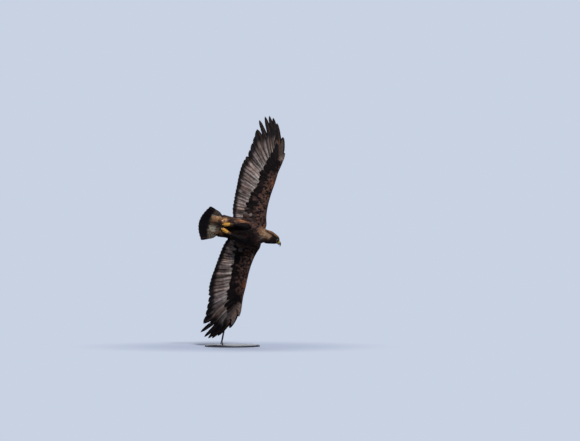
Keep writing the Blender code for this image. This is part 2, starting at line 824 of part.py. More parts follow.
def build_tail(luck):
    """A fleshy root, six pairs of tail feathers laid one under another, and coverts on both faces."""
    rings = []
    for behind, half_width, half_height in TAIL_CORE:
        middle = tail_place(behind, 0, 0)
        rings.append(oval(middle, (0, 1, 0), (0, 0, 1), half_width, half_height, half_height, TAIL_SIDES))
    tail = loft("tail", rings)

    def place(x, across, above):
        return tail_place(-x, across, above - TAIL_ARCH * across**2)

    vanes = []
    for pair in range(TAIL_PAIRS):
        share = pair / (TAIL_PAIRS - 1)
        length = TAIL_LENGTHS[0] + (TAIL_LENGTHS[1] - TAIL_LENGTHS[0]) * share**TAIL_ROUNDED
        root_across = TAIL_FROM_ACROSS[0] + (TAIL_FROM_ACROSS[1] - TAIL_FROM_ACROSS[0]) * share
        tip_across = TAIL_TIPS_ACROSS[0] + (TAIL_TIPS_ACROSS[1] - TAIL_TIPS_ACROSS[0]) * share
        for side in (1, -1):
            steps_down = pair + (0.5 if side < 0 else 0.0)
            layer = TAIL_LAYER * ((TAIL_PAIRS - 1) / 2 - steps_down)
            shape = [
                (t, before, behind) if side > 0 else (t, behind, before)
                for t, before, behind in SECONDARY_SHAPE
            ]
            vanes.append(
                vane(place, (-TAIL_FROM, side * root_across), (-length, side * tip_across),
                     TAIL_WIDTH * (1 + VARIES * luck.uniform(-1, 1)), shape, 0.0,
                     lambda t, spot, layer=layer: layer, lambda t: 0.0)
            )
    for face, (count, across, length, width, height) in zip((1, -1), TAIL_COVERTS):
        for k, root_across in enumerate(spread(-across, across, count)):
            start = face * (TAIL_COVERT_ROOT - TAIL_COVERT_DROP * abs(root_across) / across)
            layer = face * (height - TAIL_LAYER * abs(k - (count - 1) / 2))
            root = (-TAIL_COVERTS_FROM, root_across)
            tip = (-TAIL_COVERTS_FROM - length, root_across * TAIL_COVERT_SPREAD)

            def lift(t, spot, start=start, layer=layer):
                return start + (layer - start) * smoothstep(0.0, TAIL_COVERT_RISEN, t)

            vanes.append(vane(place, root, tip, width, GREATER_SHAPE, 0.0, lift, lambda t: 0.0))
    return join(tail, vanes)


def mirrored(points, side):
    return [(p[0], side * p[1], p[2]) for p in points]


def bent_path(root, yaw_deg, rises_deg, step):
    """Places from root backwards, one step for each rise angle, turned sideways by yaw."""
    places = [Vector(root)]
    yaw = math.radians(yaw_deg)
    for rise_deg in rises_deg:
        rise = math.radians(rise_deg)
        way = Vector((-math.cos(rise) * math.cos(yaw), math.cos(rise) * math.sin(yaw), math.sin(rise)))
        places.append(places[-1] + way * step)
    return places


def build_leg(label, side, looks, parent, torso_cutter):
    leg = tube(f"leg_{label}", mirrored(LEG_PATH, side), LEG_RADII, 4)
    cut(leg, [torso_cutter])
    finish(leg, looks["plumage"], parent)
    end = Vector(LEG_PATH[-1])
    way = (end - Vector(LEG_PATH[-2])).normalized()
    stem = [end + way * (GAP + place) for place, _ in FOOT_STEM]
    foot = tube(f"foot_{label}", mirrored(stem, side), [radius for _, radius in FOOT_STEM], 4)
    toes = []
    for name, shift, lift, yaw, first_rise, last_rise, length, radius, claw_length, claw_rise in TOES:
        root = end + way * TOES_FROM + Vector((0, shift, lift))
        count = len(TOE_SHAPE) - 1
        rises = [first_rise + (last_rise - first_rise) * k / (count - 1) for k in range(count)]
        toe = bent_path(root, yaw, rises, length / count)
        toes.append(tube("toe", mirrored(toe, side), [radius * f for f in TOE_SHAPE], 2))
        tip_way = (toe[-1] - toe[-2]).normalized()
        count = len(CLAW_SHAPE) - 1
        rises = [last_rise + (claw_rise - last_rise) * k / (count - 1) for k in range(count)]
        claw = bent_path(toe[-1] + tip_way * GAP, yaw, rises, claw_length / count)
        claw_radii = [radius * CLAW_BASE * f for f in CLAW_SHAPE]
        finish(tube(f"claw_{label}_{name}", mirrored(claw, side), claw_radii, 2), looks["claw"], parent)
    join(foot, toes)
    finish(foot, looks["foot"], parent)


def build_base(look):
    bpy.ops.mesh.primitive_cylinder_add(
        vertices=48, radius=BASE_RADIUS, depth=BASE_THICK, location=(0, 0, BASE_THICK / 2)
    )
    base = bpy.context.active_object
    base.name = "stand_base"
    edge = base.modifiers.new("edge", "BEVEL")
    edge.width = BASE_EDGE
    edge.segments = 1
    edge.limit_method = "ANGLE"
    edge.angle_limit = math.radians(40)
    finish(base, look)


def build_rod(look, to_world, torso_cutter):
    """The rod runs out from the back, round a bend, and down behind the lower wing to the base."""
    out_way = (to_world.to_3x3() @ Vector((0, 0, 1))).normalized()
    back = to_world @ Vector((ROD_BACK_X, 0, ROD_STARTS_IN))
    elbow = to_world @ Vector((ROD_BACK_X, 0, ROD_ELBOW_Z))
    foot = Vector((*ROD_FOOT, BASE_THICK + GAP))
    first = elbow - out_way * ROD_BEND
    last = elbow + (foot - elbow).normalized() * ROD_BEND
    path = [back]
    for k in range(ROD_BEND_STEPS + 1):
        t = k / ROD_BEND_STEPS
        path.append(first * (1 - t) ** 2 + elbow * 2 * t * (1 - t) + last * t * t)
    path += [foot + Vector((0, 0, ROD_UPRIGHT)), foot]
    rod = tube("stand_rod", path, [ROD_RADIUS] * len(path), 4)
    cut(rod, [torso_cutter])
    finish(rod, look)


def main():
    for obj in list(bpy.data.objects):
        bpy.data.objects.remove(obj)
    group_of("golden_eagle")
    group_of("cutters")
    looks = {
        "plumage": material("plumage", PLUMAGE, 0.8),
        "flight": material("flight_feathers", FLIGHT, 0.6),
        "golden": material("golden_plumage", GOLDEN, 0.8),
        "foot": material("foot_scales", YELLOW, 0.5),
        "claw": material("claw", HORN, 0.25),
        "horn": material("bill", HORN, 0.3),
        "eye": material("eye", AMBER, 0.08),
        "steel": material("stand_metal", STEEL, 0.4, 0.9),
    }
    bird = bpy.data.objects.new("eagle", None)
    bpy.data.collections["golden_eagle"].objects.link(bird)

    luck = random.Random(5)
    torso_cutter = as_cutter(loft("torso_cutter", torso_rings(GAP)))
    neck_cutter = as_cutter(loft("neck_cutter", neck_cutter_rings()))
    finish(loft("torso", torso_rings()), looks["plumage"], bird)
    finish(loft("neck", neck_rings()), looks["golden"], bird)
    build_head(looks, bird)
    for label, side in (("right", -1), ("left", 1)):
        wing = build_wing(f"wing_{label}", side, [torso_cutter, neck_cutter], luck)
        finish(wing, looks["flight"], bird)
        build_leg(label, side, looks, bird, torso_cutter)
    finish(build_tail(luck), looks["flight"], bird)

    to_world = (
        Matrix.Translation(BIRD_AT)
        @ Matrix.Rotation(math.radians(NOSE_DOWN_DEG), 4, "Y")
        @ Matrix.Rotation(math.radians(-BANK_DEG), 4, "X")
    )
    bird.matrix_world = to_world

    build_base(looks["steel"])
    torso_cutter.data.transform(to_world)
    build_rod(looks["steel"], to_world, torso_cutter)


main()
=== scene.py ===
import math

import bmesh
import bpy
import numpy as np
from mathutils import Matrix, Vector


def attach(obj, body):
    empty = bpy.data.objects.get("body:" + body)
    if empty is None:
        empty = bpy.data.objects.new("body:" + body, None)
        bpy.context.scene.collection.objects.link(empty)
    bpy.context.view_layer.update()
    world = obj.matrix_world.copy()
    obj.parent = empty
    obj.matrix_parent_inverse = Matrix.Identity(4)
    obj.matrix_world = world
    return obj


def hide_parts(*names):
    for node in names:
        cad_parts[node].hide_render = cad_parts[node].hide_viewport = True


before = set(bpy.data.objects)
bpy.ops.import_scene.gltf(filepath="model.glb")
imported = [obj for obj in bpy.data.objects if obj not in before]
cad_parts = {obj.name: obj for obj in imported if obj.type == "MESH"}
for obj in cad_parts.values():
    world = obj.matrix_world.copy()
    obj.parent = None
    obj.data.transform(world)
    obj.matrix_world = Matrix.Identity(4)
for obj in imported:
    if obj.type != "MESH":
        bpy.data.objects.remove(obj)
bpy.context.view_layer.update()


# The view: a long lens far off and level with the bird, as the photo's is, so that the banked
# bird shows its underside. The photo's scale and the bird's place in it set the framing.
PHOTO_SIZE = (580, 441)
PHOTO_PER_METRE = 110.5
BIRD_IN_PHOTO = (243, 231.4)
BIRD_AT = Vector((0.10, -0.20, 1.05))
LENS = 200.0
SENSOR = 36.0

lens = bpy.data.cameras.new("long_lens")
lens.lens = LENS
lens.sensor_width = SENSOR
lens.clip_end = 500.0
camera = bpy.data.objects.new("long_lens", lens)
bpy.context.scene.collection.objects.link(camera)
bpy.context.scene.camera = camera
view_width = PHOTO_SIZE[0] / PHOTO_PER_METRE
camera.location = (
    BIRD_AT.x + (PHOTO_SIZE[0] / 2 - BIRD_IN_PHOTO[0]) / PHOTO_PER_METRE,
    BIRD_AT.y - view_width * LENS / SENSOR,
    BIRD_AT.z - (PHOTO_SIZE[1] / 2 - BIRD_IN_PHOTO[1]) / PHOTO_PER_METRE,
)
camera.rotation_euler = (math.radians(90), 0, 0)
bpy.context.scene.view_settings.view_transform = "Standard"


# The sky and the floor: the photo has only a pale, hazy sky, so the floor takes the sky's colour
# and melts into it away from the stand. A sun, two broad soft glows and the sky light the bird.
def from_screen(red, green, blue):
    """The linear colour of a screen colour given in 0 to 255."""
    shares = np.array((red, green, blue)) / 255
    return np.where(shares <= 0.04045, shares / 12.92, ((shares + 0.055) / 1.055) ** 2.4)


SKY = from_screen(200, 210, 227)
SKY_LIGHT = 0.22
SUNS = (
    ("sun_high", (2.70, 2.66, 2.80), 6.0, (46.0, 0.0, 16.0)),
    ("sun_low", (0.14, 0.15, 0.17), 60.0, (80.0, 0.0, -38.0)),
    ("sun_behind", (1.3, 1.3, 1.4), 40.0, (-58.0, 0.0, 16.0)),
)
FLOOR_HALF = 300.0
FLOOR_NEAR = 0.35
FLOOR_FAR = 1.6
FLOOR_BOUNCE = 0.10

world = bpy.data.worlds.new("hazy_sky")
bpy.context.scene.world = world
world.use_nodes = True
nodes, links = world.node_tree.nodes, world.node_tree.links
seen = nodes["Background"]
seen.inputs["Color"].default_value = (*SKY, 1.0)
lit = nodes.new("ShaderNodeBackground")
lit.inputs["Color"].default_value = (*SKY, 1.0)
lit.inputs["Strength"].default_value = SKY_LIGHT
either = nodes.new("ShaderNodeMixShader")
rays = nodes.new("ShaderNodeLightPath")
links.new(rays.outputs["Is Camera Ray"], either.inputs["Fac"])
links.new(lit.outputs["Background"], either.inputs[1])
links.new(seen.outputs["Background"], either.inputs[2])
links.new(either.outputs["Shader"], nodes["World Output"].inputs["Surface"])

for name, colour, spread_deg, turn in SUNS:
    sun = bpy.data.lights.new(name, "SUN")
    sun.energy = max(colour)
    sun.color = [c / max(colour) for c in colour]
    sun.angle = math.radians(spread_deg)
    lamp = bpy.data.objects.new(name, sun)
    lamp.rotation_euler = [math.radians(a) for a in turn]
    bpy.context.scene.collection.objects.link(lamp)

shape = bmesh.new()
bmesh.ops.create_grid(shape, x_segments=1, y_segments=1, size=FLOOR_HALF)
mesh = bpy.data.meshes.new("floor")
shape.to_mesh(mesh)
shape.free()
floor = bpy.data.objects.new("floor", mesh)
bpy.context.scene.collection.objects.link(floor)
haze = bpy.data.materials.new("hazy_floor")
haze.use_nodes = True
nodes, links = haze.node_tree.nodes, haze.node_tree.links
ground = nodes["Principled BSDF"]
ground.inputs["Roughness"].default_value = 0.9
ground.inputs["Specular IOR Level"].default_value = 0.0
sun_share = 0.80
ground.inputs["Base Color"].default_value = (*(SKY * sun_share), 1.0)
glow = nodes.new("ShaderNodeEmission")
glow.inputs["Color"].default_value = (*SKY, 1.0)
place = nodes.new("ShaderNodeTexCoord")
reach = nodes.new("ShaderNodeVectorMath")
reach.operation = "LENGTH"
fade = nodes.new("ShaderNodeMapRange")
fade.interpolation_type = "SMOOTHSTEP"
fade.inputs["From Min"].default_value = FLOOR_NEAR
fade.inputs["From Max"].default_value = FLOOR_FAR
melt = nodes.new("ShaderNodeMixShader")
links.new(place.outputs["Object"], reach.inputs[0])
seen_only = nodes.new("ShaderNodeLightPath")
dimmed = nodes.new("ShaderNodeMapRange")
dimmed.inputs["To Min"].default_value = FLOOR_BOUNCE
links.new(seen_only.outputs["Is Camera Ray"], dimmed.inputs["Value"])
links.new(dimmed.outputs["Result"], glow.inputs["Strength"])
links.new(reach.outputs["Value"], fade.inputs["Value"])
links.new(fade.outputs["Result"], melt.inputs["Fac"])
links.new(ground.outputs["BSDF"], melt.inputs[1])
links.new(glow.outputs["Emission"], melt.inputs[2])
links.new(melt.outputs["Shader"], nodes["Material Output"].inputs["Surface"])
floor.data.materials.append(haze)


# The body's skin: one smooth surface from the root of the tail over the torso and neck to the
# face, inside the coat of feathers by the coat's depth. Everything on the bird is laid out in
# the bird's own frame, x to the bill, y to its left, z out of its back, and banked at the end.
BANK_DEG = 85.0
NOSE_DOWN_DEG = 15.5
to_world = (
    Matrix.Translation(BIRD_AT)
    @ Matrix.Rotation(math.radians(NOSE_DOWN_DEG), 4, "Y")
    @ Matrix.Rotation(math.radians(-BANK_DEG), 4, "X")
)
TAIL_ROOT = (-0.140, 0.0, 0.014)
TAIL_LEAN_DEG = 5.0
TAIL_CORE = ((0.0, 0.096, 0.040), (0.04, 0.098, 0.027), (0.085, 0.100, 0.013), (0.12, 0.096, 0.0035))
TORSO = (
    (-0.140, 0.014, 0.096, 0.040),
    (-0.095, 0.002, 0.098, 0.060),
    (-0.020, -0.011, 0.099, 0.079),
    (0.060, -0.014, 0.100, 0.087),
    (0.120, -0.010, 0.094, 0.080),
    (0.165, -0.002, 0.086, 0.069),
)
HEAD_AT = (0.300, -0.010, 0.010)
HEAD_TURN_DEG = 20.0
HEAD_ROLL_DEG = 80.0
HEAD_NOD_DEG = 5.0
HEAD = (
    (-0.048, -0.026, 0.0480, 0.0650),
    (-0.028, -0.019, 0.0445, 0.0590),
    (-0.008, -0.011, 0.0395, 0.0520),
    (0.012, -0.005, 0.0335, 0.0420),
    (0.026, -0.003, 0.0255, 0.0315),
    (0.037, -0.003, 0.0170, 0.0205),
)
CROWN_TOP = 0.0350
CROWN_GIVE = 0.4
NECK_NARROWS = 1.15
NECK_STEER = 0.4
COAT_DEPTH = ((-0.25, 0.001), (-0.14, 0.004), (0.0, 0.007), (0.16, 0.007), (0.26, 0.0045), (0.345, 0.0018))
SKIN_SIDES = 96
head_frame = (
    Matrix.Translation(HEAD_AT)
    @ Matrix.Rotation(math.radians(HEAD_TURN_DEG), 4, "Z")
    @ Matrix.Rotation(math.radians(HEAD_ROLL_DEG), 4, "X")
    @ Matrix.Rotation(math.radians(HEAD_NOD_DEG), 4, "Y")
)


def moved(points, by):
    """Points, as an array, taken through a matrix."""
    by = np.array(by)
    return np.asarray(points) @ by[:3, :3].T + by[:3, 3]


def along(keys, t):
    """The smooth curve through keys of (place, value, ...), read at each t."""
    keys = np.array(keys, float)
    places, values = keys[:, 0], keys[:, 1:]
    t = np.clip(np.asarray(t, float), places[0], places[-1])
    i = np.clip(np.searchsorted(places, t, side="right") - 1, 0, len(places) - 2)
    slopes = np.gradient(values, places, axis=0)
    width = (places[i + 1] - places[i])[..., None]
    s = (t - places[i])[..., None] / width
    return (
        values[i] * (2 * s**3 - 3 * s**2 + 1)
        + values[i + 1] * (3 * s**2 - 2 * s**3)
        + slopes[i] * width * (s**3 - 2 * s**2 + s)
        + slopes[i + 1] * width * (s**3 - s**2)
    )


def eased(first, last, t):
    """0 before first, 1 after last, and a soft step between them."""
    s = np.clip((t - first) / (last - first), 0.0, 1.0)
    return s * s * (3 - 2 * s)


def oval(middle, side, up, half_width, half_height, first_angle=0.0, sides=SKIN_SIDES):
    angles = first_angle + np.arange(sides) * 2 * math.pi / sides
    across = np.outer(np.cos(angles) * half_width, side)
    return np.asarray(middle) + across + np.outer(np.sin(angles) * half_height, up)


def coat_depth(x):
    return float(along(COAT_DEPTH, x)[0])


def tail_place(behind, across, above):
    """A place on the tail in the bird's frame. Its axis leans towards the left wing."""
    lean = math.tan(math.radians(TAIL_LEAN_DEG))
    x = TAIL_ROOT[0] - behind
    return np.stack(np.broadcast_arrays(x, TAIL_ROOT[1] + across + lean * behind, TAIL_ROOT[2] + above), -1)


def shaped_head(points):
    """The head's plain oval, with brow ridges, a flat crown, hollow lores and full cheeks."""
    x, y, z = np.array(points, float).T
    side = np.sign(y)

    def bump(at, reach):
        away = ((x - at[0]) / reach[0]) ** 2 + ((np.abs(y) - at[1]) / reach[1]) ** 2
        return np.exp(-away - ((z - at[2]) / reach[2]) ** 2)

    y = y + side * 0.0040 * bump((0.016, 0.0265, 0.0150), (0.014, 0.008, 0.0050))
    y = y - side * 0.0030 * bump((0.0290, 0.0220, 0.0040), (0.0070, 0.010, 0.0060))
    y = y - side * 0.0022 * bump((0.0170, 0.0290, 0.0030), (0.0075, 0.010, 0.0065))
    y = y + side * 0.0020 * bump((-0.002, 0.0340, -0.0080), (0.014, 0.010, 0.010))
    z = np.where(z > CROWN_TOP, CROWN_TOP + CROWN_GIVE * (z - CROWN_TOP), z)
    return np.stack((x, y, z), 1)


rings = []
for behind in np.linspace(0.11, 0.004, 12):
    half_width, half_height = along(TAIL_CORE, behind)
    depth = coat_depth(TAIL_ROOT[0] - behind)
    middle = tail_place(behind, 0, 0)
    rings.append(oval(middle, (0, 1, 0), (0, 0, 1), half_width - depth, max(half_height - depth, 0.002)))
for x in np.linspace(TORSO[0][0], TORSO[-1][0], 40):
    z, half_width, half_height = along(TORSO, x)
    depth = coat_depth(x)
    rings.append(oval((x, 0, z), (0, 1, 0), (0, 0, 1), half_width - depth, half_height - depth))
neck_start = Vector((TORSO[-1][0], 0, TORSO[-1][1]))
neck_end = head_frame @ Vector((HEAD[0][0], 0, HEAD[0][1]))
head_way = (head_frame.to_3x3() @ Vector((1, 0, 0))).normalized()
neck_reach = (neck_end - neck_start).length * NECK_STEER
second, third = neck_start + Vector((neck_reach, 0, 0)), neck_end - head_way * neck_reach
for t in np.linspace(0, 1, 26)[1:-1]:
    s = 1 - t
    middle = neck_start * s**3 + second * 3 * t * s * s + third * 3 * s * t * t + neck_end * t**3
    way = (Vector((1, 0, 0)) * s + head_way * t).normalized()
    roll = math.radians(HEAD_ROLL_DEG) * t
    up = Matrix.Rotation(roll, 3, way) @ Vector((0, 0, 1))
    up = (up - way * up.dot(way)).normalized()
    share = 1 - s**NECK_NARROWS
    half_width = TORSO[-1][2] + (HEAD[0][2] - TORSO[-1][2]) * share - coat_depth(middle.x)
    half_height = TORSO[-1][3] + (HEAD[0][3] - TORSO[-1][3]) * share - coat_depth(middle.x)
    rings.append(oval(middle, up.cross(way), up, half_width, half_height, -roll))
for x in np.linspace(HEAD[0][0], HEAD[-1][0], 44):
    z, half_width, half_height = along(HEAD, x)
    depth = coat_depth(HEAD_AT[0] + x)
    first_angle = -math.radians(HEAD_ROLL_DEG)
    ring = oval((x, 0, z), (0, 1, 0), (0, 0, 1), half_width - depth, half_height - depth, first_angle)
    rings.append(moved(shaped_head(ring), head_frame))
body_rings = np.array(rings)


class Hide:
    """A stretch of skin as rings of points, which gives any place over it.

    The first plan number runs along it in metres, the second round it in turns.
    """

    def __init__(self, rings):
        self.rings = rings
        middles = rings.mean(1)
        steps = np.linalg.norm(np.diff(middles, axis=0), axis=1)
        self.lengths = np.concatenate(((0.0,), np.cumsum(steps)))
        ahead = np.gradient(rings, axis=0)
        round_it = np.roll(rings, -1, 1) - np.roll(rings, 1, 1)
        out = np.cross(round_it, ahead)
        out /= np.linalg.norm(out, axis=-1, keepdims=True) + 1e-12
        if np.sum(out * (rings - middles[:, None])) < 0:
            out = -out
        self.out = out
        self.girths = np.linalg.norm(np.diff(rings, axis=1, append=rings[:, :1]), axis=-1).sum(1)

    def place(self, run, turn, above):
        """The place above the skin at plan numbers run and turn."""
        count = self.rings.shape[1]
        row = np.interp(run, self.lengths, np.arange(len(self.lengths)))
        row = np.clip(row, 0, len(self.lengths) - 1.001)
        column = np.mod(turn, 1.0) * count
        i, j = row.astype(int), column.astype(int) % count
        a, b = (row - i)[..., None], (column - np.floor(column))[..., None]
        k = (j + 1) % count
        spot, out = [
            (grid[i, j] * (1 - b) + grid[i, k] * b) * (1 - a) + (grid[i + 1, j] * (1 - b) + grid[i + 1, k] * b) * a
            for grid in (self.rings, self.out)
        ]
        out /= np.linalg.norm(out, axis=-1, keepdims=True) + 1e-12
        return spot + out * above[..., None]

    def girth(self, run):
        return np.interp(run, self.lengths, self.girths)


def tube_rings(path, radii, sides, steps, flat=1.0):
    """Rings along the smooth curve through path. flat squeezes them from top to bottom."""
    path = np.array(path, float)
    run = np.concatenate(((0.0,), np.cumsum(np.linalg.norm(np.diff(path, axis=0), axis=1))))
    keys = np.column_stack((run, path, np.array(radii, float)))
    told = along(keys, np.linspace(0, run[-1], steps))
    ways = np.gradient(told[:, :3], axis=0)
    rings = []
    for spot, way in zip(told, ways):
        way = Vector(way).normalized()
        side = way.cross(Vector((0, 0, 1))).normalized()
        rings.append(oval(spot[:3], side, side.cross(way), spot[3], spot[3] * flat, sides=sides))
    return np.array(rings)


def tube_shape(rings):
    """A bmesh skin through rings of points, closed at both ends: a grid laid on them and sewn up."""
    steps, sides = rings.shape[:2]
    shape = bmesh.new()
    bmesh.ops.create_grid(shape, x_segments=steps - 1, y_segments=sides, size=1.0)
    run = shape.verts.layers.float.new("Run")
    for vert in shape.verts:
        i = round((vert.co.x + 1) / 2 * (steps - 1))
        j = round((vert.co.y + 1) / 2 * sides)
        vert.co = rings[i, j % sides]
        vert[run] = i / (steps - 1)
    bmesh.ops.remove_doubles(shape, verts=shape.verts, dist=1e-6)
    bmesh.ops.holes_fill(shape, edges=[e for e in shape.edges if e.is_boundary], sides=0)
    bmesh.ops.recalc_face_normals(shape, faces=shape.faces)
    return shape


def piece_of(name, shape, look, replaced=(), world=to_world):
    """An object of a bmesh, set in place, smooth, with its material, riding on the one body."""
    if world is not None:
        bmesh.ops.transform(shape, matrix=world, verts=shape.verts)
    mesh = bpy.data.meshes.new(name)
    shape.to_mesh(mesh)
    shape.free()
    mesh.shade_smooth()
    mesh.set_sharp_from_angle(angle=math.radians(50))
    piece = bpy.data.objects.new(name, mesh)
    bpy.context.scene.collection.objects.link(piece)
    piece.data.materials.append(look)
    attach(piece, "root")
    if replaced:
        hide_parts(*replaced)
    return piece


body = Hide(body_rings)


# The wings' own shape: a fleshy arm and hand under the coverts, swept slightly back, raised
# outwards and curled up at the tip. Plan numbers are x and the distance out from the midline.
SHOULDER_Z = 0.045
SHOULDER_OUT = 0.09
WING_RISE_DEG = 8.0
TIP_CURL = 0.39
CURL_FROM = 0.55
CAMBER = 0.35
CAMBER_MIDDLE = 0.06
SWEEP_DEG = {-1: 0.0, 1: -0.4}
BREADTH = {-1: 1.015, 1: 0.980}
BREADTH_FROM = 0.12
LEADING_EDGE = (
    (0.04, 0.186),
    (0.11, 0.190),
    (0.16, 0.174),
    (0.27, 0.157),
    (0.36, 0.155),
    (0.50, 0.163),
    (0.60, 0.165),
    (0.68, 0.175),
    (0.74, 0.178),
    (0.78, 0.174),
)
ARM_REAR = (
    (0.04, -0.030),
    (0.14, 0.000),
    (0.30, 0.025),
    (0.53, 0.070),
    (0.66, 0.115),
    (0.72, 0.138),
    (0.78, 0.162),
)
ARM_HALF_THICK = ((0.04, 0.026), (0.14, 0.019), (0.28, 0.015), (0.50, 0.0115), (0.62, 0.0105), (0.78, 0.008))
HAND_TAPER_FROM = 0.66
HAND_END = 0.78
HAND_TIP_SHARE = 0.22
REAR_HALF_THICK = 0.0008
FLIGHT_LAYER = 0.0024
ARM_COAT_DEPTH = 0.0012
SIDES = (("right", -1), ("left", 1))


def wing_place(side, x, out, above):
    """A place on a wing in the bird's frame, at a height above the wing's middle surface."""
    curl = np.maximum(0.0, out - CURL_FROM)
    rise = math.tan(math.radians(WING_RISE_DEG)) * (out - SHOULDER_OUT)
    height = SHOULDER_Z + rise + TIP_CURL * curl**2 - CAMBER * (x - CAMBER_MIDDLE) ** 2
    swept = x + math.tan(math.radians(SWEEP_DEG[side])) * out
    swept = BREADTH_FROM + (swept - BREADTH_FROM) * BREADTH[side]
    return np.stack(np.broadcast_arrays(swept, side * out, height + above), -1)


def leading_edge(out):
    return along(LEADING_EDGE, out)[..., 0]


def arm_rear(out):
    return along(ARM_REAR, out)[..., 0]


def arm_half(share, out):
    """Half the arm's thickness at a share of its chord: a wing section, fullest near the front."""
    t = np.clip(share, 0.0, 1.0)
    section = 5 * (0.5938 * np.sqrt(t) - 0.2520 * t - 0.7032 * t**2 + 0.5686 * t**3 - 0.2072 * t**4)
    taper = 1 - (1 - HAND_TIP_SHARE) * eased(HAND_TAPER_FROM, HAND_END, out)
    return along(ARM_HALF_THICK, out)[..., 0] * taper * section + REAR_HALF_THICK * t


def layer_height(x, out):
    """Height of the arm's surface at a place, or of the layer of flight feathers behind it."""
    front, rear = leading_edge(out), arm_rear(out)
    share = (front - x) / np.maximum(front - rear, 0.004)
    on_arm = np.maximum(FLIGHT_LAYER, arm_half(share, out))
    return np.where((share >= 1) | (out > HAND_END), FLIGHT_LAYER, on_arm)


def arm_rings(side):
    """Rings round the arm from inside the torso to the end of the hand."""
    shares = (1 - np.cos(np.linspace(0, math.pi, 13))) / 2
    rings = []
    for out in np.concatenate((np.linspace(0.045, 0.66, 32), np.linspace(0.68, HAND_END - 0.004, 7))):
        front, rear = float(leading_edge(out)) - ARM_COAT_DEPTH, float(arm_rear(out))
        x = front + (rear - front) * shares
        half = np.maximum(arm_half(shares, out) - ARM_COAT_DEPTH, 0.0004)
        upper = wing_place(side, x, out, half)
        lower = wing_place(side, x, out, -half)
        rings.append(np.concatenate((upper, lower[-2:0:-1])))
    return np.array(rings)


# The legs' skin, from the thigh to the ankle: a golden eagle's legs are feathered to the toes,
# and in flight they lie back under the tail.
LEG_PATH = (
    (0.060, 0.052, -0.058),
    (0.015, 0.056, -0.080),
    (-0.028, 0.055, -0.094),
    (-0.050, 0.052, -0.0960),
    (-0.090, 0.046, -0.0910),
    (-0.126, 0.038, -0.0820),
)
LEG_RADII = (0.030, 0.033, 0.025, 0.0200, 0.0148, 0.0128)
LEG_COAT_DEPTHS = (0.004, 0.005, 0.005, 0.005, 0.0038, 0.0020)


def mirrored(points, side):
    return np.array(points) * (1, side, 1)


leg_skin_radii = [radius - depth for radius, depth in zip(LEG_RADII, LEG_COAT_DEPTHS)]
legs = {side: Hide(tube_rings(mirrored(LEG_PATH, side), leg_skin_radii, 28, 40)) for _, side in SIDES}


# The skin's and the coat's markings, by place in the bird's frame: chocolate brown, warmer on
# the wings' front, golden on the nape and crown, dark on the face, buff under the tail. Painted
# shade darkens the underside and the chin and throat.
CHOCOLATE = from_screen(62, 47, 45)
BLACKISH = from_screen(15, 12, 16)
RUFOUS = from_screen(112, 76, 54)
GOLD = from_screen(156, 116, 82)
PALE_GOLD = from_screen(206, 174, 142)
BUFF = from_screen(226, 172, 122)
FLANK = from_screen(204, 138, 84)
DARK_FACE = from_screen(30, 23, 22)
ASH = from_screen(214, 210, 188)


def blended(base, other, share):
    share = np.asarray(share)[..., None]
    return np.asarray(base) * (1 - share) + np.asarray(other) * share


def around(points, at, reach):
    """1 at a place, fading to 0 about reach away from it."""
    away = ((points - np.array(at)) / np.array(reach)) ** 2
    return np.exp(-away.sum(-1))


def markings_and_painted_shade(points):
    """The plumage's colour at places on the body, neck, head and legs, with painted shade on the underside and on the
    chin and throat.
    """
    x, y, z = np.moveaxis(points, -1, 0)
    colour = np.broadcast_to(CHOCOLATE, points.shape).copy()
    # The underside goes near black except along its right side, which is turned up: the bird's own dark underparts with
    # painted shade, the upturned side left lighter as if lit.
    belly_and_painted_shade = eased(-0.075, -0.040, y) * eased(0.20, 0.10, x) * eased(0.04, 0.0, z)
    colour = blended(colour, BLACKISH * 0.55, 0.93 * belly_and_painted_shade)
    colour = blended(colour, BLACKISH, 0.45 * eased(0.02, 0.05, z) * eased(0.22, 0.10, x))
    streaky = np.sin(61 * x + 17 * y) * np.sin(43 * y - 29 * z + 1.0)
    colour = blended(colour, RUFOUS, 0.30 * eased(0.2, 0.9, streaky) * (1 - 0.6 * belly_and_painted_shade))
    colour = blended(colour, FLANK, 0.8 * around(points, (0.000, -0.084, -0.030), (0.042, 0.03, 0.020)))
    colour = blended(colour, BLACKISH, 0.6 * eased(-0.125, -0.165, x) * eased(0.02, -0.005, z))
    for side, share in ((-1, 0.92), (1, 0.20)):
        line = side * (0.056 - 0.034 * eased(-0.15, -0.31, x))
        buff = eased(-0.110, -0.150, x) * eased(-0.345, -0.290, x) * eased(0.02, -0.005, z)
        colour = blended(colour, BUFF, share * buff * np.exp(-(((y - line) / 0.019) ** 2)))
    ash = around(points, (-0.252, 0.032, 0.0), (0.036, 0.014, 0.05)) * eased(0.020, 0.005, z)
    colour = blended(colour, ASH, 0.8 * ash)
    h = moved(points, head_frame.inverted())
    x, z = h[..., 0], h[..., 2]
    on_head = eased(-0.165, -0.110, x)
    nape = on_head * eased(-0.060, -0.030, z) * eased(-0.018, -0.046, x)
    colour = blended(colour, GOLD, 0.95 * nape)
    colour = blended(colour, PALE_GOLD, 0.85 * around(h * (1, 0, 1), (-0.064, 0, -0.018), (0.034, 1, 0.019)))
    crown = on_head * eased(0.018, 0.026, z) * eased(0.034, 0.020, x)
    colour = blended(colour, GOLD * 0.8, crown)
    band = np.exp(-(((z - 0.012) / 0.009) ** 4)) * eased(-0.115, -0.070, x)
    colour = blended(colour, DARK_FACE, 0.92 * band)
    # The front of the face below the eyes goes near black: the face's own dark brown with painted shade on the chin and
    # throat.
    face = eased(-0.040, -0.018, x) * eased(0.022, 0.012, z)
    return blended(colour, DARK_FACE, 0.95 * face)


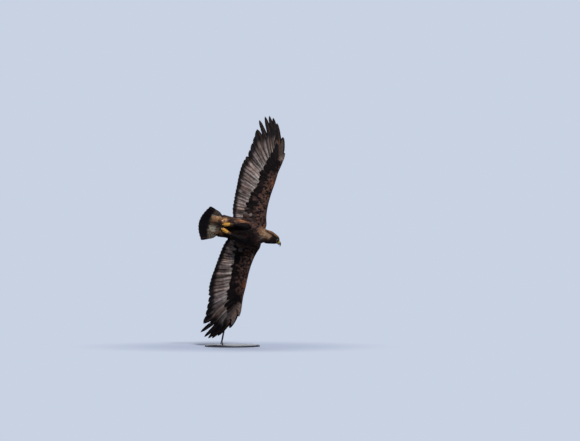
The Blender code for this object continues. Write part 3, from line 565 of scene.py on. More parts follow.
# The skin itself: body, arms and legs fused into one, so no seam shows between the feathers.
def mix_colour(tree, share, base, other):
    """A node that mixes two colours, each a socket or a constant, by a share."""
    mix = tree.nodes.new("ShaderNodeMix")
    mix.data_type = "RGBA"
    for socket, value in ((mix.inputs[0], share), (mix.inputs[6], base), (mix.inputs[7], other)):
        if isinstance(value, bpy.types.NodeSocket):
            tree.links.new(value, socket)
        elif isinstance(value, (int, float)):
            socket.default_value = value
        else:
            socket.default_value = (*value, 1.0)
    return mix.outputs[2]


def sums(tree, operation, first, second=0.0, clamp=False):
    """A node that works out one number from two, each a socket or a constant."""
    node = tree.nodes.new("ShaderNodeMath")
    node.operation = operation
    node.use_clamp = clamp
    for socket, value in zip(node.inputs, (first, second)):
        if isinstance(value, bpy.types.NodeSocket):
            tree.links.new(value, socket)
        else:
            socket.default_value = value
    return node.outputs[0]


def soft_step(tree, value, first, last):
    """A node that goes softly from 0 at first to 1 at last."""
    node = tree.nodes.new("ShaderNodeMapRange")
    node.interpolation_type = "SMOOTHSTEP"
    tree.links.new(value, node.inputs["Value"])
    node.inputs["From Min"].default_value = first
    node.inputs["From Max"].default_value = last
    return node.outputs["Result"]


def plumage_of(tree):
    """The node that reads a piece's plumage colours."""
    read = tree.nodes.new("ShaderNodeAttribute")
    read.attribute_name = "Plumage"
    return read


def noise_at(tree, scale, detail=3.0, roughness=0.5, vector=None):
    """Noise over the object's own places, or over another vector."""
    noise = tree.nodes.new("ShaderNodeTexNoise")
    noise.inputs["Scale"].default_value = scale
    noise.inputs["Detail"].default_value = detail
    noise.inputs["Roughness"].default_value = roughness
    if vector is None:
        vector = tree.nodes.new("ShaderNodeTexCoord").outputs["Object"]
    tree.links.new(vector, noise.inputs["Vector"])
    return noise.outputs["Fac"]


def new_look(name, roughness, specular=0.5):
    """A new material, with its node tree and its shader."""
    look = bpy.data.materials.new(name)
    look.use_nodes = True
    shader = look.node_tree.nodes["Principled BSDF"]
    shader.inputs["Roughness"].default_value = roughness
    shader.inputs["Specular IOR Level"].default_value = specular
    return look, look.node_tree, shader


def raised(tree, shader, height, strength, distance):
    """Bumps the shader's surface by a height."""
    bump = tree.nodes.new("ShaderNodeBump")
    bump.inputs["Strength"].default_value = strength
    bump.inputs["Distance"].default_value = distance
    tree.links.new(height, bump.inputs["Height"])
    tree.links.new(bump.outputs["Normal"], shader.inputs["Normal"])


skin_look, tree, shader = new_look("downy_skin", 0.85, 0.2)
down = noise_at(tree, 420.0, 4.0, 0.6)
tinted = mix_colour(tree, sums(tree, "MULTIPLY", down, 0.6), plumage_of(tree).outputs["Color"], BLACKISH * 0.6)
tree.links.new(tinted, shader.inputs["Base Color"])
raised(tree, shader, down, 0.6, 0.0012)


def baked_union(main, others):
    """One skin of several closed ones, fused by a Boolean union."""
    together = bpy.data.collections.new("fused")
    for other in others:
        together.objects.link(other)
    fuse = main.modifiers.new("fuse", "BOOLEAN")
    fuse.operation = "UNION"
    fuse.operand_type = "COLLECTION"
    fuse.collection = together
    fuse.solver = "MANIFOLD"
    bpy.context.view_layer.update()
    graph = bpy.context.evaluated_depsgraph_get()
    mesh = bpy.data.meshes.new_from_object(main.evaluated_get(graph))
    for other in others:
        bpy.data.objects.remove(other)
    bpy.data.objects.remove(main)
    bpy.data.collections.remove(together)
    return mesh


def loose_part(rings):
    """A closed skin through rings as a plain object, ready to be fused with others."""
    shape = tube_shape(rings)
    bmesh.ops.triangulate(shape, faces=shape.faces)
    mesh = bpy.data.meshes.new("part")
    shape.to_mesh(mesh)
    shape.free()
    part = bpy.data.objects.new("part", mesh)
    bpy.context.scene.collection.objects.link(part)
    return part


parts = [loose_part(rings) for rings in [body.rings] + [arm_rings(side) for _, side in SIDES]]
parts += [loose_part(legs[side].rings) for _, side in SIDES]
shape = bmesh.new()
shape.from_mesh(baked_union(parts[0], parts[1:]))
skin_places = np.array([vert.co for vert in shape.verts])
skin = piece_of("skin", shape, skin_look, ("torso", "neck", "head", "leg_right", "leg_left"))
tint = skin.data.color_attributes.new("Plumage", "FLOAT_COLOR", "POINT")
skin_colours = np.column_stack((markings_and_painted_shade(skin_places) * 0.7, np.ones(len(skin_places))))
tint.data.foreach_set("color", skin_colours.astype(np.float32).ravel())


# Feathers: each is a thin closed vane, thickest along its shaft and laid over the skin along the
# lie of the coat, and many are joined in one mesh. Across is from -1, behind, to 1, before.
PATCH = 0.003


def ring_of(across):
    """Places across a vane, round it from the edge behind, over the top and back underneath."""
    top = np.array(across, float)
    ring = np.concatenate((top, top[-2:0:-1]))
    under = np.concatenate((np.zeros(len(top)), np.ones(len(top) - 2)))
    return ring, under


def feathers(
    place, root, way, length, width, outline, rise, luck, across=(-1, -0.5, 0, 0.5, 1), stations=8,
    scale=(1.0, 1.0), bow=0.0, tilt=0.0, arch=0.0, thick=0.00035, shaft=0.0004, notches=0, rounded=0.80,
    ragged=0.0, flat_root=0.0,
):
    """Feathers rooted at plan places, pointing along way, as rings of points and what they carry.

    outline gives shares of the width before and behind the shaft along the feather, rise the
    shaft's height from t, and tilt lifts the edge before over the edge behind. flat_root is the
    share of the tilt that is missing at the root.
    """
    count = len(root)
    ring, under = ring_of(across)
    t = np.tile(np.linspace(0, 1, stations - 3 * notches) ** 0.9, (count, 1))
    pinch = np.ones((count, stations))
    if notches:
        cuts = luck.uniform(0.42, 0.95, (count, notches))
        depths = luck.uniform(0.10, 0.45, (count, notches)) * (luck.uniform(0, 1, (count, notches)) < 0.75)
        near = np.concatenate((cuts - 0.011, cuts, cuts + 0.004), 1)
        t = np.sort(np.concatenate((t, near), 1), 1)
        for n in range(notches):
            away = np.abs(t - cuts[:, n : n + 1])
            pinch *= np.where(away < 1e-9, 1 - depths[:, n : n + 1], 1.0)
    shares = along(outline, t)
    tip = np.sqrt(np.clip(1 - (np.clip((t - rounded) / (1 - rounded), 0, 1)) ** 2.2, 0.0004, 1))
    before, behind = shares[..., 0] * tip, shares[..., 1] * tip * pinch
    if ragged:
        before = before * (1 + ragged * luck.uniform(-1, 1, t.shape))
        behind = behind * (1 + ragged * luck.uniform(-1, 1, t.shape))
    length, width, bow, tilt = [np.broadcast_to(np.asarray(v, float), (count,)) for v in (length, width, bow, tilt)]
    way = way / np.linalg.norm(way, axis=1, keepdims=True)
    ahead = np.stack((way[:, 1], -way[:, 0]), 1)
    line = way[:, None] * (t * length[:, None])[..., None]
    line += ahead[:, None] * (4 * bow[:, None] * length[:, None] * t * (1 - t))[..., None]
    turn = way[:, None] + ahead[:, None] * (4 * bow[:, None] * (1 - 2 * t))[..., None]
    turn /= np.linalg.norm(turn, axis=-1, keepdims=True)
    front = np.stack((turn[..., 1], -turn[..., 0]), -1)
    reach = np.where(ring > 0, ring * before[..., None], ring * behind[..., None]) * width[:, None, None]
    plan = line[:, :, None] + front[:, :, None] * reach[..., None]
    scale = np.broadcast_to(np.asarray(scale, float), (count, 2))
    plan = root[:, None, None] + plan * scale[:, None, None]
    half = thick * (1 - 0.75 * ring**2) * (1 - 0.6 * t[..., None])
    half = half + shaft * np.exp(-((ring / 0.12) ** 2)) * (1 - 0.8 * t[..., None]) ** 0.8
    half = np.where(np.abs(ring) > 0.999, 0.0, half)
    lean = tilt[:, None] * (1 - flat_root * (1 - eased(0.12, 0.42, t)))
    height = rise(t)[..., None] + lean[..., None] * reach - arch * ring**2
    height = height + np.where(under > 0.5, -half, half)
    points = place(plan[..., 0], plan[..., 1], height)
    return {"points": points, "t": t, "ring": ring, "under": under, "luck": luck.uniform(0, 1, count)}


def joined_feathers(name, groups, look, replaced=()):
    """Joins groups of feathers into one piece. Each group brings its colours and bake places."""
    places, quads, ends, fields = [], [], [], []
    start = 0
    for group in groups:
        points, t, ring, under = group["points"], group["t"], group["ring"], group["under"]
        count, stations, sides = points.shape[:3]
        i = np.arange(sides)
        after = (i + 1) % sides
        k = np.arange(stations - 1)[:, None]
        face = np.stack((k * sides + i, k * sides + after, (k + 1) * sides + after, (k + 1) * sides + i), -1)
        corner_t = np.stack(np.broadcast_arrays(k, k, k + 1, k + 1), -1) + 0 * face
        corner_s = np.broadcast_to(np.stack((ring[i], ring[after], ring[after], ring[i]), -1), face.shape)
        below = np.broadcast_to((i >= (sides + 2) // 2 - 1)[:, None], (sides, 4))
        below = np.broadcast_to(below, face.shape)
        caps = np.stack((i[::-1], (stations - 1) * sides + i))
        a, b, c, d = [points[:, :, :, :].reshape(count, -1, 3)[:, face[..., q].ravel()] for q in range(4)]
        volume = np.einsum("nij,nij->", a, np.cross(b, c)) + np.einsum("nij,nij->", a, np.cross(c, d))
        if volume < 0:
            face, corner_t, corner_s, caps = face[..., ::-1], corner_t[..., ::-1], corner_s[..., ::-1], caps[:, ::-1]
        face = face.reshape(-1, 4)
        base = start + np.arange(count) * stations * sides
        quads.append((face[None] + base[:, None, None]).reshape(-1, 4))
        ends.append((caps[None] + base[:, None, None]).reshape(-1, sides))
        flat_t, flat_s, flat_below = corner_t.reshape(-1), corner_s.reshape(-1), below.reshape(-1)
        cap_t = np.where(caps.ravel() >= sides, stations - 1, 0)
        cap_s = ring[caps.ravel() % sides]
        fields.append([
            np.stack((t[:, index], np.broadcast_to(s, (count, len(s)))), -1)
            for index, s in ((flat_t, flat_s), (cap_t, cap_s))
        ] + [flat_below, group])
        places.append(points.reshape(-1, 3))
        start += count * stations * sides
    places = moved(np.concatenate(places), to_world)
    faces = [q for block in quads for q in block.tolist()] + [e for block in ends for e in block.tolist()]
    mesh = bpy.data.meshes.new(name)
    mesh.from_pydata(places, [], faces)
    vane, bake, tint, chance = [], [], [], []
    for which in (0, 1):
        for field in fields:
            told, below, group = field[which], field[2], field[3]
            count, corners = told.shape[:2]
            low = below if which == 0 else np.zeros(corners, bool)
            along_it, across_it = told[..., 0], (told[..., 1] + 1) / 2
            vane.append(np.stack((across_it, along_it), -1).reshape(-1, 2))
            bake.append(group["bake"](across_it, along_it, low).reshape(-1, 2))
            tint.append(group["colour"](across_it, along_it, low).reshape(-1, 4))
            chance.append(np.repeat(group["luck"], corners))
    for title, values in (("Vane", vane), ("OFBake", bake)):
        layer = mesh.uv_layers.new(name=title)
        layer.data.foreach_set("uv", np.concatenate(values).astype(np.float32).ravel())
    layer = mesh.color_attributes.new("Plumage", "FLOAT_COLOR", "CORNER")
    layer.data.foreach_set("color", np.concatenate(tint).astype(np.float32).ravel())
    layer = mesh.attributes.new("Luck", "FLOAT", "CORNER")
    layer.data.foreach_set("value", np.concatenate(chance).astype(np.float32))
    mesh.shade_smooth()
    mesh.set_sharp_from_angle(angle=math.radians(60))
    piece = bpy.data.objects.new(name, mesh)
    bpy.context.scene.collection.objects.link(piece)
    piece.data.materials.append(look)
    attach(piece, "root")
    if replaced:
        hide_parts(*replaced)
    return piece


def patches(u, v):
    """Gives each tuft a small patch of the bake, at its root's place on the skin's own unwrap."""

    def bake(across, along_it, low):
        return np.stack((u[:, None] + PATCH * (across - 0.5), v[:, None] + PATCH * (along_it - 0.5)), -1)

    return bake


def strips(first, total, half):
    """Gives each big feather its own two strips of the bake, one for each face."""

    def bake(across, along_it, low):
        count = along_it.shape[0]
        column = first + np.arange(count)[:, None]
        wide = 0.92 / total
        u = (column + 0.04) / total + across * wide
        v = np.where(low, 0.01, 0.51) + along_it * 0.48
        return np.stack((u, v * half[1] + half[0]), -1)

    return bake


def plain_colours(colours, bars=0.0):
    """One colour for each feather, on both faces, with the strength of its bars."""

    def colour(across, along_it, low):
        shown = np.broadcast_to(colours[:, None], (*along_it.shape, 3))
        strength = np.broadcast_to(np.asarray(bars, float).reshape(-1, 1), along_it.shape)
        return np.concatenate((shown, strength[..., None]), -1)

    return colour


def feather_look(name, fringe, fringe_share, shaft, shaft_share, barbs, slant, bars, streaks=0.0):
    """The finish of a kind of feather, from the shared feather pattern."""
    look, tree, shader = new_look(name, 0.6, 0.08)
    shader.inputs["Sheen Weight"].default_value = 0.015
    shader.inputs["Sheen Roughness"].default_value = 0.45
    pattern = tree.nodes.new("ShaderNodeGroup")
    pattern.node_tree = vane_pattern
    uv = tree.nodes.new("ShaderNodeUVMap")
    uv.uv_map = "Vane"
    tint = plumage_of(tree)
    chance = tree.nodes.new("ShaderNodeAttribute")
    chance.attribute_name = "Luck"
    tree.links.new(uv.outputs["UV"], pattern.inputs["Vane"])
    tree.links.new(tint.outputs["Color"], pattern.inputs["Plumage"])
    tree.links.new(tint.outputs["Alpha"], pattern.inputs["Bar strength"])
    tree.links.new(chance.outputs["Fac"], pattern.inputs["Luck"])
    for title, value in (
        ("Fringe", (*fringe, 1.0)), ("Fringe share", fringe_share), ("Shaft", (*shaft, 1.0)),
        ("Shaft share", shaft_share), ("Barbs", barbs), ("Slant", slant), ("Bars", bars),
        ("Streaks", streaks),
    ):
        pattern.inputs[title].default_value = value
    tree.links.new(pattern.outputs["Color"], shader.inputs["Base Color"])
    tree.links.new(pattern.outputs["Roughness"], shader.inputs["Roughness"])
    raised(tree, shader, pattern.outputs["Height"], 0.55, 0.0006)
    return look


vane_pattern = bpy.data.node_groups.new("vane_pattern", "ShaderNodeTree")
for title, kind in (
    ("Vane", "NodeSocketVector"), ("Plumage", "NodeSocketColor"), ("Bar strength", "NodeSocketFloat"),
    ("Luck", "NodeSocketFloat"), ("Fringe", "NodeSocketColor"), ("Fringe share", "NodeSocketFloat"),
    ("Shaft", "NodeSocketColor"), ("Shaft share", "NodeSocketFloat"), ("Barbs", "NodeSocketFloat"),
    ("Slant", "NodeSocketFloat"), ("Bars", "NodeSocketFloat"), ("Streaks", "NodeSocketFloat"),
):
    vane_pattern.interface.new_socket(name=title, in_out="INPUT", socket_type=kind)
for title, kind in (("Color", "NodeSocketColor"), ("Height", "NodeSocketFloat"), ("Roughness", "NodeSocketFloat")):
    vane_pattern.interface.new_socket(name=title, in_out="OUTPUT", socket_type=kind)
tree = vane_pattern
given = tree.nodes.new("NodeGroupInput")
made = tree.nodes.new("NodeGroupOutput")
split = tree.nodes.new("ShaderNodeSeparateXYZ")
tree.links.new(given.outputs["Vane"], split.inputs[0])
off_shaft = sums(tree, "MULTIPLY", sums(tree, "ABSOLUTE", sums(tree, "SUBTRACT", split.outputs["X"], 0.5)), 2.0)
barb_run = sums(tree, "SUBTRACT", split.outputs["Y"], sums(tree, "MULTIPLY", off_shaft, given.outputs["Slant"]))
barb_place = tree.nodes.new("ShaderNodeCombineXYZ")
tree.links.new(sums(tree, "MULTIPLY", barb_run, given.outputs["Barbs"]), barb_place.inputs[0])
tree.links.new(sums(tree, "MULTIPLY", given.outputs["Luck"], 97.0), barb_place.inputs[1])
tree.links.new(sums(tree, "MULTIPLY", split.outputs["X"], 2.5), barb_place.inputs[2])
barb = noise_at(tree, 1.0, 2.0, 0.6, barb_place.outputs[0])
clump_place = tree.nodes.new("ShaderNodeCombineXYZ")
tree.links.new(sums(tree, "MULTIPLY", barb_run, 14.0), clump_place.inputs[0])
tree.links.new(sums(tree, "MULTIPLY", given.outputs["Luck"], 31.0), clump_place.inputs[1])
tree.links.new(sums(tree, "MULTIPLY", split.outputs["X"], 1.6), clump_place.inputs[2])
clump = noise_at(tree, 1.0, 3.0, 0.6, clump_place.outputs[0])
worn = sums(tree, "ADD", sums(tree, "MULTIPLY", clump, 0.75), sums(tree, "MULTIPLY", barb, 0.5))
wavy = sums(tree, "ADD", split.outputs["Y"], sums(tree, "MULTIPLY", clump, 0.10))
bar_run = sums(tree, "ADD", sums(tree, "MULTIPLY", wavy, given.outputs["Bars"]), given.outputs["Luck"])
bar = sums(tree, "SINE", sums(tree, "MULTIPLY", bar_run, 2 * math.pi))
dark_bar = soft_step(tree, sums(tree, "ADD", bar, sums(tree, "MULTIPLY", barb, 0.8)), 0.1, 0.9)
speckle = soft_step(tree, noise_at(tree, 260.0, 3.0, 0.7), 0.48, 0.62)
barred = sums(tree, "MULTIPLY", sums(tree, "MAXIMUM", dark_bar, sums(tree, "MULTIPLY", speckle, 0.55)),
              given.outputs["Bar strength"], True)
coloured = mix_colour(tree, sums(tree, "MULTIPLY", barred, 0.75), given.outputs["Plumage"], BLACKISH)
luck_tone = sums(tree, "ADD", sums(tree, "MULTIPLY", given.outputs["Luck"], 0.5), 0.42)
streak_place = tree.nodes.new("ShaderNodeCombineXYZ")
tree.links.new(sums(tree, "MULTIPLY", split.outputs["X"], 6.0), streak_place.inputs[0])
tree.links.new(sums(tree, "MULTIPLY", split.outputs["Y"], 2.2), streak_place.inputs[1])
tree.links.new(sums(tree, "MULTIPLY", given.outputs["Luck"], 61.0), streak_place.inputs[2])
streak = sums(tree, "SUBTRACT", noise_at(tree, 1.0, 2.0, 0.5, streak_place.outputs[0]), 0.5)
streak = sums(tree, "ADD", sums(tree, "MULTIPLY", sums(tree, "MULTIPLY", streak, 4.0), given.outputs["Streaks"]), 1.0)
tone = sums(tree, "MULTIPLY", luck_tone, sums(tree, "ADD", worn, 0.75))
tone = sums(tree, "MULTIPLY", tone, sums(tree, "MAXIMUM", streak, 0.12))
toned = tree.nodes.new("ShaderNodeVectorMath")
toned.operation = "SCALE"
tree.links.new(coloured, toned.inputs[0])
tree.links.new(tone, toned.inputs["Scale"])
edge = sums(tree, "MAXIMUM", sums(tree, "POWER", off_shaft, 1.5), sums(tree, "POWER", split.outputs["Y"], 6.0))
fringe = sums(tree, "MULTIPLY", soft_step(tree, sums(tree, "ADD", edge, sums(tree, "MULTIPLY", clump, 0.5)), 0.85, 1.35),
              given.outputs["Fringe share"])
fringed = mix_colour(tree, fringe, toned.outputs[0], given.outputs["Fringe"])
stalk = sums(tree, "SUBTRACT", 1.0, soft_step(tree, off_shaft, 0.03, 0.10))
stalk = sums(tree, "MULTIPLY", stalk, sums(tree, "SUBTRACT", 1.0, sums(tree, "MULTIPLY", split.outputs["Y"], 0.7)))
shafted = mix_colour(tree, sums(tree, "MULTIPLY", stalk, given.outputs["Shaft share"]), fringed, given.outputs["Shaft"])
tree.links.new(shafted, made.inputs["Color"])
tree.links.new(sums(tree, "ADD", barb, sums(tree, "MULTIPLY", stalk, 1.5)), made.inputs["Height"])
tree.links.new(sums(tree, "ADD", 0.45, sums(tree, "MULTIPLY", clump, 0.35)), made.inputs["Roughness"])


# Flight feathers: seventeen secondaries and ten primaries a wing, stiff vanes with a strong
# shaft, rooted in the rear of the arm and hand and laid one under the next like shingles.
SECONDARIES = 17
SECONDARY_ROOTS = (0.135, 0.505)
SECONDARY_TIPS = (0.105, 0.655)
TRAILING_EDGE = (
    (0.10, -0.120),
    (0.16, -0.141),
    (0.26, -0.154),
    (0.40, -0.163),
    (0.52, -0.170),
    (0.60, -0.165),
    (0.67, -0.147),
)
ROOT_SINK = 0.016
SHINGLE = 0.0017
STEEPEST = 0.11
SECONDARY_WIDTH = 0.060
SECONDARY_SHAPE = (
    (0.0, 0.05, 0.07),
    (0.16, 0.24, 0.40),
    (0.50, 0.33, 0.62),
    (0.82, 0.35, 0.66),
    (0.91, 0.29, 0.58),
    (1.0, 0.06, 0.15),
)
SECONDARY_BOW = 0.02
PRIMARY_ROOTS = (0.530, 0.708)
PRIMARY_TIPS = (
    (-0.138, 0.716),
    (-0.131, 0.782),
    (-0.126, 0.846),
    (-0.123, 0.914),
    (-0.127, 0.998),
    (-0.086, 1.042),
    (-0.051, 1.058),
    (-0.013, 1.050),
    (0.033, 1.013),
    (0.119, 0.908),
)
PRIMARY_WIDTH = 0.070
PRIMARY_SHAPE = (
    (0.0, 0.05, 0.06),
    (0.12, 0.20, 0.36),
    (0.40, 0.28, 0.70),
    (0.74, 0.28, 0.82),
    (0.88, 0.22, 0.66),
    (0.96, 0.13, 0.36),
    (1.0, 0.05, 0.10),
)
FINGER_SHAPE = (
    (0.0, 0.05, 0.06),
    (0.12, 0.20, 0.36),
    (0.36, 0.27, 0.68),
    (0.56, 0.26, 0.68),
    (0.68, 0.23, 0.42),
    (0.84, 0.19, 0.32),
    (0.94, 0.13, 0.20),
    (1.0, 0.04, 0.06),
)
FIRST_FINGER = 4
LEFT_TIP_SHIFTS = ((3, -0.004, 0.018), (4, -0.004, 0.024), (5, 0.000, 0.016), (6, 0.004, 0.004))
PRIMARY_BOW = 0.045
FLIGHT_ACROSS = (-1, -0.66, -0.33, -0.06, 0, 0.06, 0.33, 0.66, 1)
FLIGHT_STATIONS = 42
UNDER_GREY = from_screen(142, 129, 124)
UNDER_PALE = from_screen(198, 189, 180)
UNDER_TAN = from_screen(142, 104, 76)
UPPER_BROWN = from_screen(66, 52, 46)
QUILL = from_screen(150, 104, 70)


def spread(first, last, count):
    return np.linspace(first, last, count)


secondary_tips = spread(*SECONDARY_TIPS, SECONDARIES)
secondary_tips = np.column_stack((along(TRAILING_EDGE, secondary_tips)[..., 0], secondary_tips))
root_outs = np.concatenate((spread(*SECONDARY_ROOTS, SECONDARIES), spread(*PRIMARY_ROOTS, len(PRIMARY_TIPS))))
flight_roots = np.column_stack((arm_rear(root_outs) + ROOT_SINK, root_outs))
flight_tips = np.concatenate((secondary_tips, PRIMARY_TIPS))
flight_ways = flight_tips - flight_roots
flight_angles = np.arctan2(flight_ways[:, 1], -flight_ways[:, 0])


def lie_at(out):
    """The way, in plan, that feathers at a distance out along the wing lie."""
    angle = np.interp(out, root_outs, flight_angles)
    return np.stack((-np.cos(angle), np.sin(angle)), -1)


def shingle_tilt(roots, ways):
    """How steeply each flight feather's front edge is raised, so that each clears the next."""
    unit = ways / np.linalg.norm(ways, axis=1, keepdims=True)
    across = np.stack((unit[:, 1], -unit[:, 0]), 1)[:-1]
    gaps = np.abs(((roots[1:] - roots[:-1]) * across).sum(1))
    return np.minimum(SHINGLE / np.concatenate((gaps, gaps[-1:])), STEEPEST)


def flight_colours(inner, finger, luck):
    """Grey-brown underneath, palest by the coverts, with a dark end and a dark front half that is partly painted shade
    in the gaps between feathers, brown above.
    """
    count = len(inner)
    shade = (0.92 - 0.20 * ~inner[:, None, None]) * (1 + 0.42 * luck.uniform(-1, 1, (count, 1, 1)))
    shade = shade * (1 - 0.38 * (finger & (np.arange(count) >= count - 3)))[:, None, None]
    warmth = luck.uniform(0, 1, (count, 1))
    paleness = luck.uniform(0.3, 1.0, (count, 1))

    def colour(across, t, low):
        under = blended(UNDER_GREY, UNDER_PALE, paleness * eased(0.55, 0.28, t))
        under = blended(under, UNDER_TAN, warmth * np.where(finger, 0.8, 0.35)[:, None])
        dark_from = np.where(finger, 0.49, np.where(inner, 0.72, 0.66))[:, None]
        end = eased(0.0, 0.16, t - dark_from + 0.05 * warmth)
        # The darker front half: the outer vane's own darker tone, with painted shade for the dark gaps between
        # feathers.
        front = eased(0.50, 0.62, across) * np.where(inner, 0.60, 0.82)[:, None]
        under = blended(under, BLACKISH * 1.1, np.maximum(end * 0.96, front))
        above = blended(UPPER_BROWN, BLACKISH, np.clip(end + 0.2, 0, 1))
        shown = np.where(low[None, :, None], under, above) * shade
        bars = 0.28 * (1 - end) * eased(0.10, 0.30, t)
        return np.concatenate((shown, bars[..., None]), -1)

    return colour


# The black fringe along each flight feather's edges is partly painted shade for the gaps between feathers.
flight_look = feather_look("flight_feather", BLACKISH, 0.85, QUILL, 0.55, 240.0, 0.10, 7.0, 1.15)
wing_bake = {"lower": (0.03, 0.45), "upper": (0.52, 0.45)}
for label, side in SIDES:
    luck = np.random.default_rng(11 + side)

    def on_wing(x, out, above, side=side):
        return wing_place(side, x, out, above)

    tilts = shingle_tilt(flight_roots, flight_ways)
    ways = flight_ways.copy()
    if side > 0:
        for finger, forward, outward in LEFT_TIP_SHIFTS:
            ways[SECONDARIES + finger] += (forward, outward)
    lengths = np.linalg.norm(ways, axis=1)
    is_finger = np.zeros(len(lengths), bool)
    is_finger[SECONDARIES + FIRST_FINGER :] = True
    is_secondary = np.arange(len(lengths)) < SECONDARIES
    groups = []
    taken = 0
    for chosen, outline, width, bow, notches in (
        (is_secondary, SECONDARY_SHAPE, SECONDARY_WIDTH, SECONDARY_BOW, 1),
        (~is_secondary & ~is_finger, PRIMARY_SHAPE, PRIMARY_WIDTH, PRIMARY_BOW, 2),
        (is_finger, FINGER_SHAPE, PRIMARY_WIDTH, PRIMARY_BOW, 3),
    ):
        count = int(chosen.sum())
        group = feathers(
            on_wing, flight_roots[chosen], ways[chosen], lengths[chosen],
            width * (1 + 0.04 * luck.uniform(-1, 1, count)), outline, lambda t: 0 * t, luck,
            across=FLIGHT_ACROSS, stations=FLIGHT_STATIONS, bow=bow, tilt=tilts[chosen], arch=0.0006,
            thick=0.00025, shaft=0.0011, notches=notches, rounded=0.96, ragged=0.012, flat_root=0.85,
        )
        group["colour"] = flight_colours(is_secondary[chosen], is_finger[chosen], luck)
        group["bake"] = strips(taken, len(lengths), (0.0, 1.0))
        taken += count
        groups.append(group)
    joined_feathers(f"flight_feathers_{label}", groups, flight_look, (f"wing_{label}",))


# Wing coverts: rows of ever smaller feathers over the arm and hand on both faces of the wing,
# each row's tips on the roots of the next. Underneath, the greatest row is nearly black.
COVERT_SHAPE = ((0.0, 0.16, 0.16), (0.30, 0.38, 0.38), (0.70, 0.48, 0.48), (1.0, 0.40, 0.40))
GREATER_SHAPE = ((0.0, 0.14, 0.14), (0.25, 0.36, 0.36), (0.80, 0.48, 0.48), (1.0, 0.42, 0.42))
# Rows from the rear: share of the chord, spacing along the wing, length on the arm and on the
# hand, width, height of the tips over what lies below
COVERT_ROWS = (
    (0.80, 0.0200, 0.088, 0.108, 0.036, 0.0044),
    (0.64, 0.0180, 0.064, 0.060, 0.032, 0.0050),
    (0.52, 0.0165, 0.050, 0.042, 0.028, 0.0046),
    (0.42, 0.0150, 0.042, 0.034, 0.025, 0.0042),
    (0.33, 0.0135, 0.037, 0.029, 0.022, 0.0038),
    (0.25, 0.0122, 0.032, 0.025, 0.019, 0.0034),
    (0.18, 0.0110, 0.028, 0.022, 0.017, 0.0030),
    (0.115, 0.0100, 0.024, 0.019, 0.015, 0.0026),
    (0.060, 0.0090, 0.020, 0.016, 0.013, 0.0022),
    (0.018, 0.0080, 0.016, 0.013, 0.011, 0.0016),
)
GREATER_LENGTHS = (
    (0.08, 0.086),
    (0.20, 0.078),
    (0.33, 0.072),
    (0.45, 0.069),
    (0.53, 0.098),
    (0.62, 0.140),
    (0.70, 0.146),
    (0.77, 0.104),
)
HAND_BAND_END = {-1: 0.676, 1: 0.628}
COVERTS_FROM = 0.082
COVERTS_TO = 0.770
COVERT_DARK = from_screen(17, 13, 16)
COVERT_BROWN = from_screen(92, 70, 63)
covert_look = feather_look("wing_covert", from_screen(104, 78, 62), 0.30, from_screen(54, 40, 34), 0.5, 90.0, 0.25, 4.0)


def covert_colours(row, share, out, side, under, luck):
    """Mottled dark brown with black greater rows underneath, and paler brown above; the left wing's underside gets
    painted shade.
    """
    count = len(out)
    forward = np.clip(row / (len(COVERT_ROWS) - 1), 0, 1) + 0.10 * luck.uniform(-1, 1, count)
    chance = luck.uniform(0, 1, count)
    if under:
        blotch = np.sin(83 * out + 2.5 * np.sin(31 * share)) * np.sin(19 * share + 29 * out)
        mottle = np.clip(0.40 + 1.3 * blotch + 2.0 * (chance - 0.5), 0, 1)
        colours = blended(COVERT_DARK, COVERT_BROWN, mottle)
        rufous = (luck.uniform(0, 1, count) < 0.26) * luck.uniform(0.2, 0.8, count)
        colours = blended(colours, RUFOUS, rufous * eased(0.1, 0.4, forward))
        wrist = np.exp(-(((out - 0.475) / 0.030) ** 2)) * eased(0.5, 0.8, forward)
        colours = blended(colours, from_screen(152, 92, 62), 0.7 * wrist * luck.uniform(0.3, 1.0, count))
        rear = eased(0.34, 0.10, forward) * np.where(chance < 0.30, 0.15, 0.95)
        colours = blended(colours, BLACKISH * 0.6, rear)
        flecks = (luck.uniform(0, 1, count) < 0.28) * eased(0.23, 0.15, out) * eased(0.4, 0.1, forward)
        colours = blended(colours, UNDER_GREY, 0.7 * flecks * eased(0.10, 0.13, out))
        crescent = eased(0.545, 0.575, out) * eased(0.10, 0.22, share) * np.where(chance < 0.16, 0.3, 1.0)
        colours = blended(colours, BLACKISH * 0.5, 0.97 * crescent)
        edge = HAND_BAND_END[side]
        beyond = eased(edge, edge + 0.018, out - 0.03 * np.abs(share - 0.45) + 0.012 * (chance - 0.5))
        greys = blended(UNDER_GREY, UNDER_TAN, 0.7 * chance) * (0.4 + 1.0 * luck.uniform(0, 1, (count, 1)))
        greys = blended(greys, COVERT_DARK, 0.6 * eased(0.73, 0.76, out)) * (0.5 if row < 2 else 1.0)
        # Painted shade: the left wing, turned down, has its under coverts darkened by about a third, all but along the
        # leading edge.
        return blended(colours * (1 - 0.35 * (side > 0) * eased(0.06, 0.2, share))[:, None], greys, beyond)
    tan = np.exp(-(((forward - 0.25) / 0.16) ** 2)) * eased(0.62, 0.45, out)
    colours = blended(UPPER_BROWN, from_screen(148, 116, 88), 0.75 * tan)
    return blended(colours, RUFOUS, 0.25 * luck.uniform(0, 1, count))


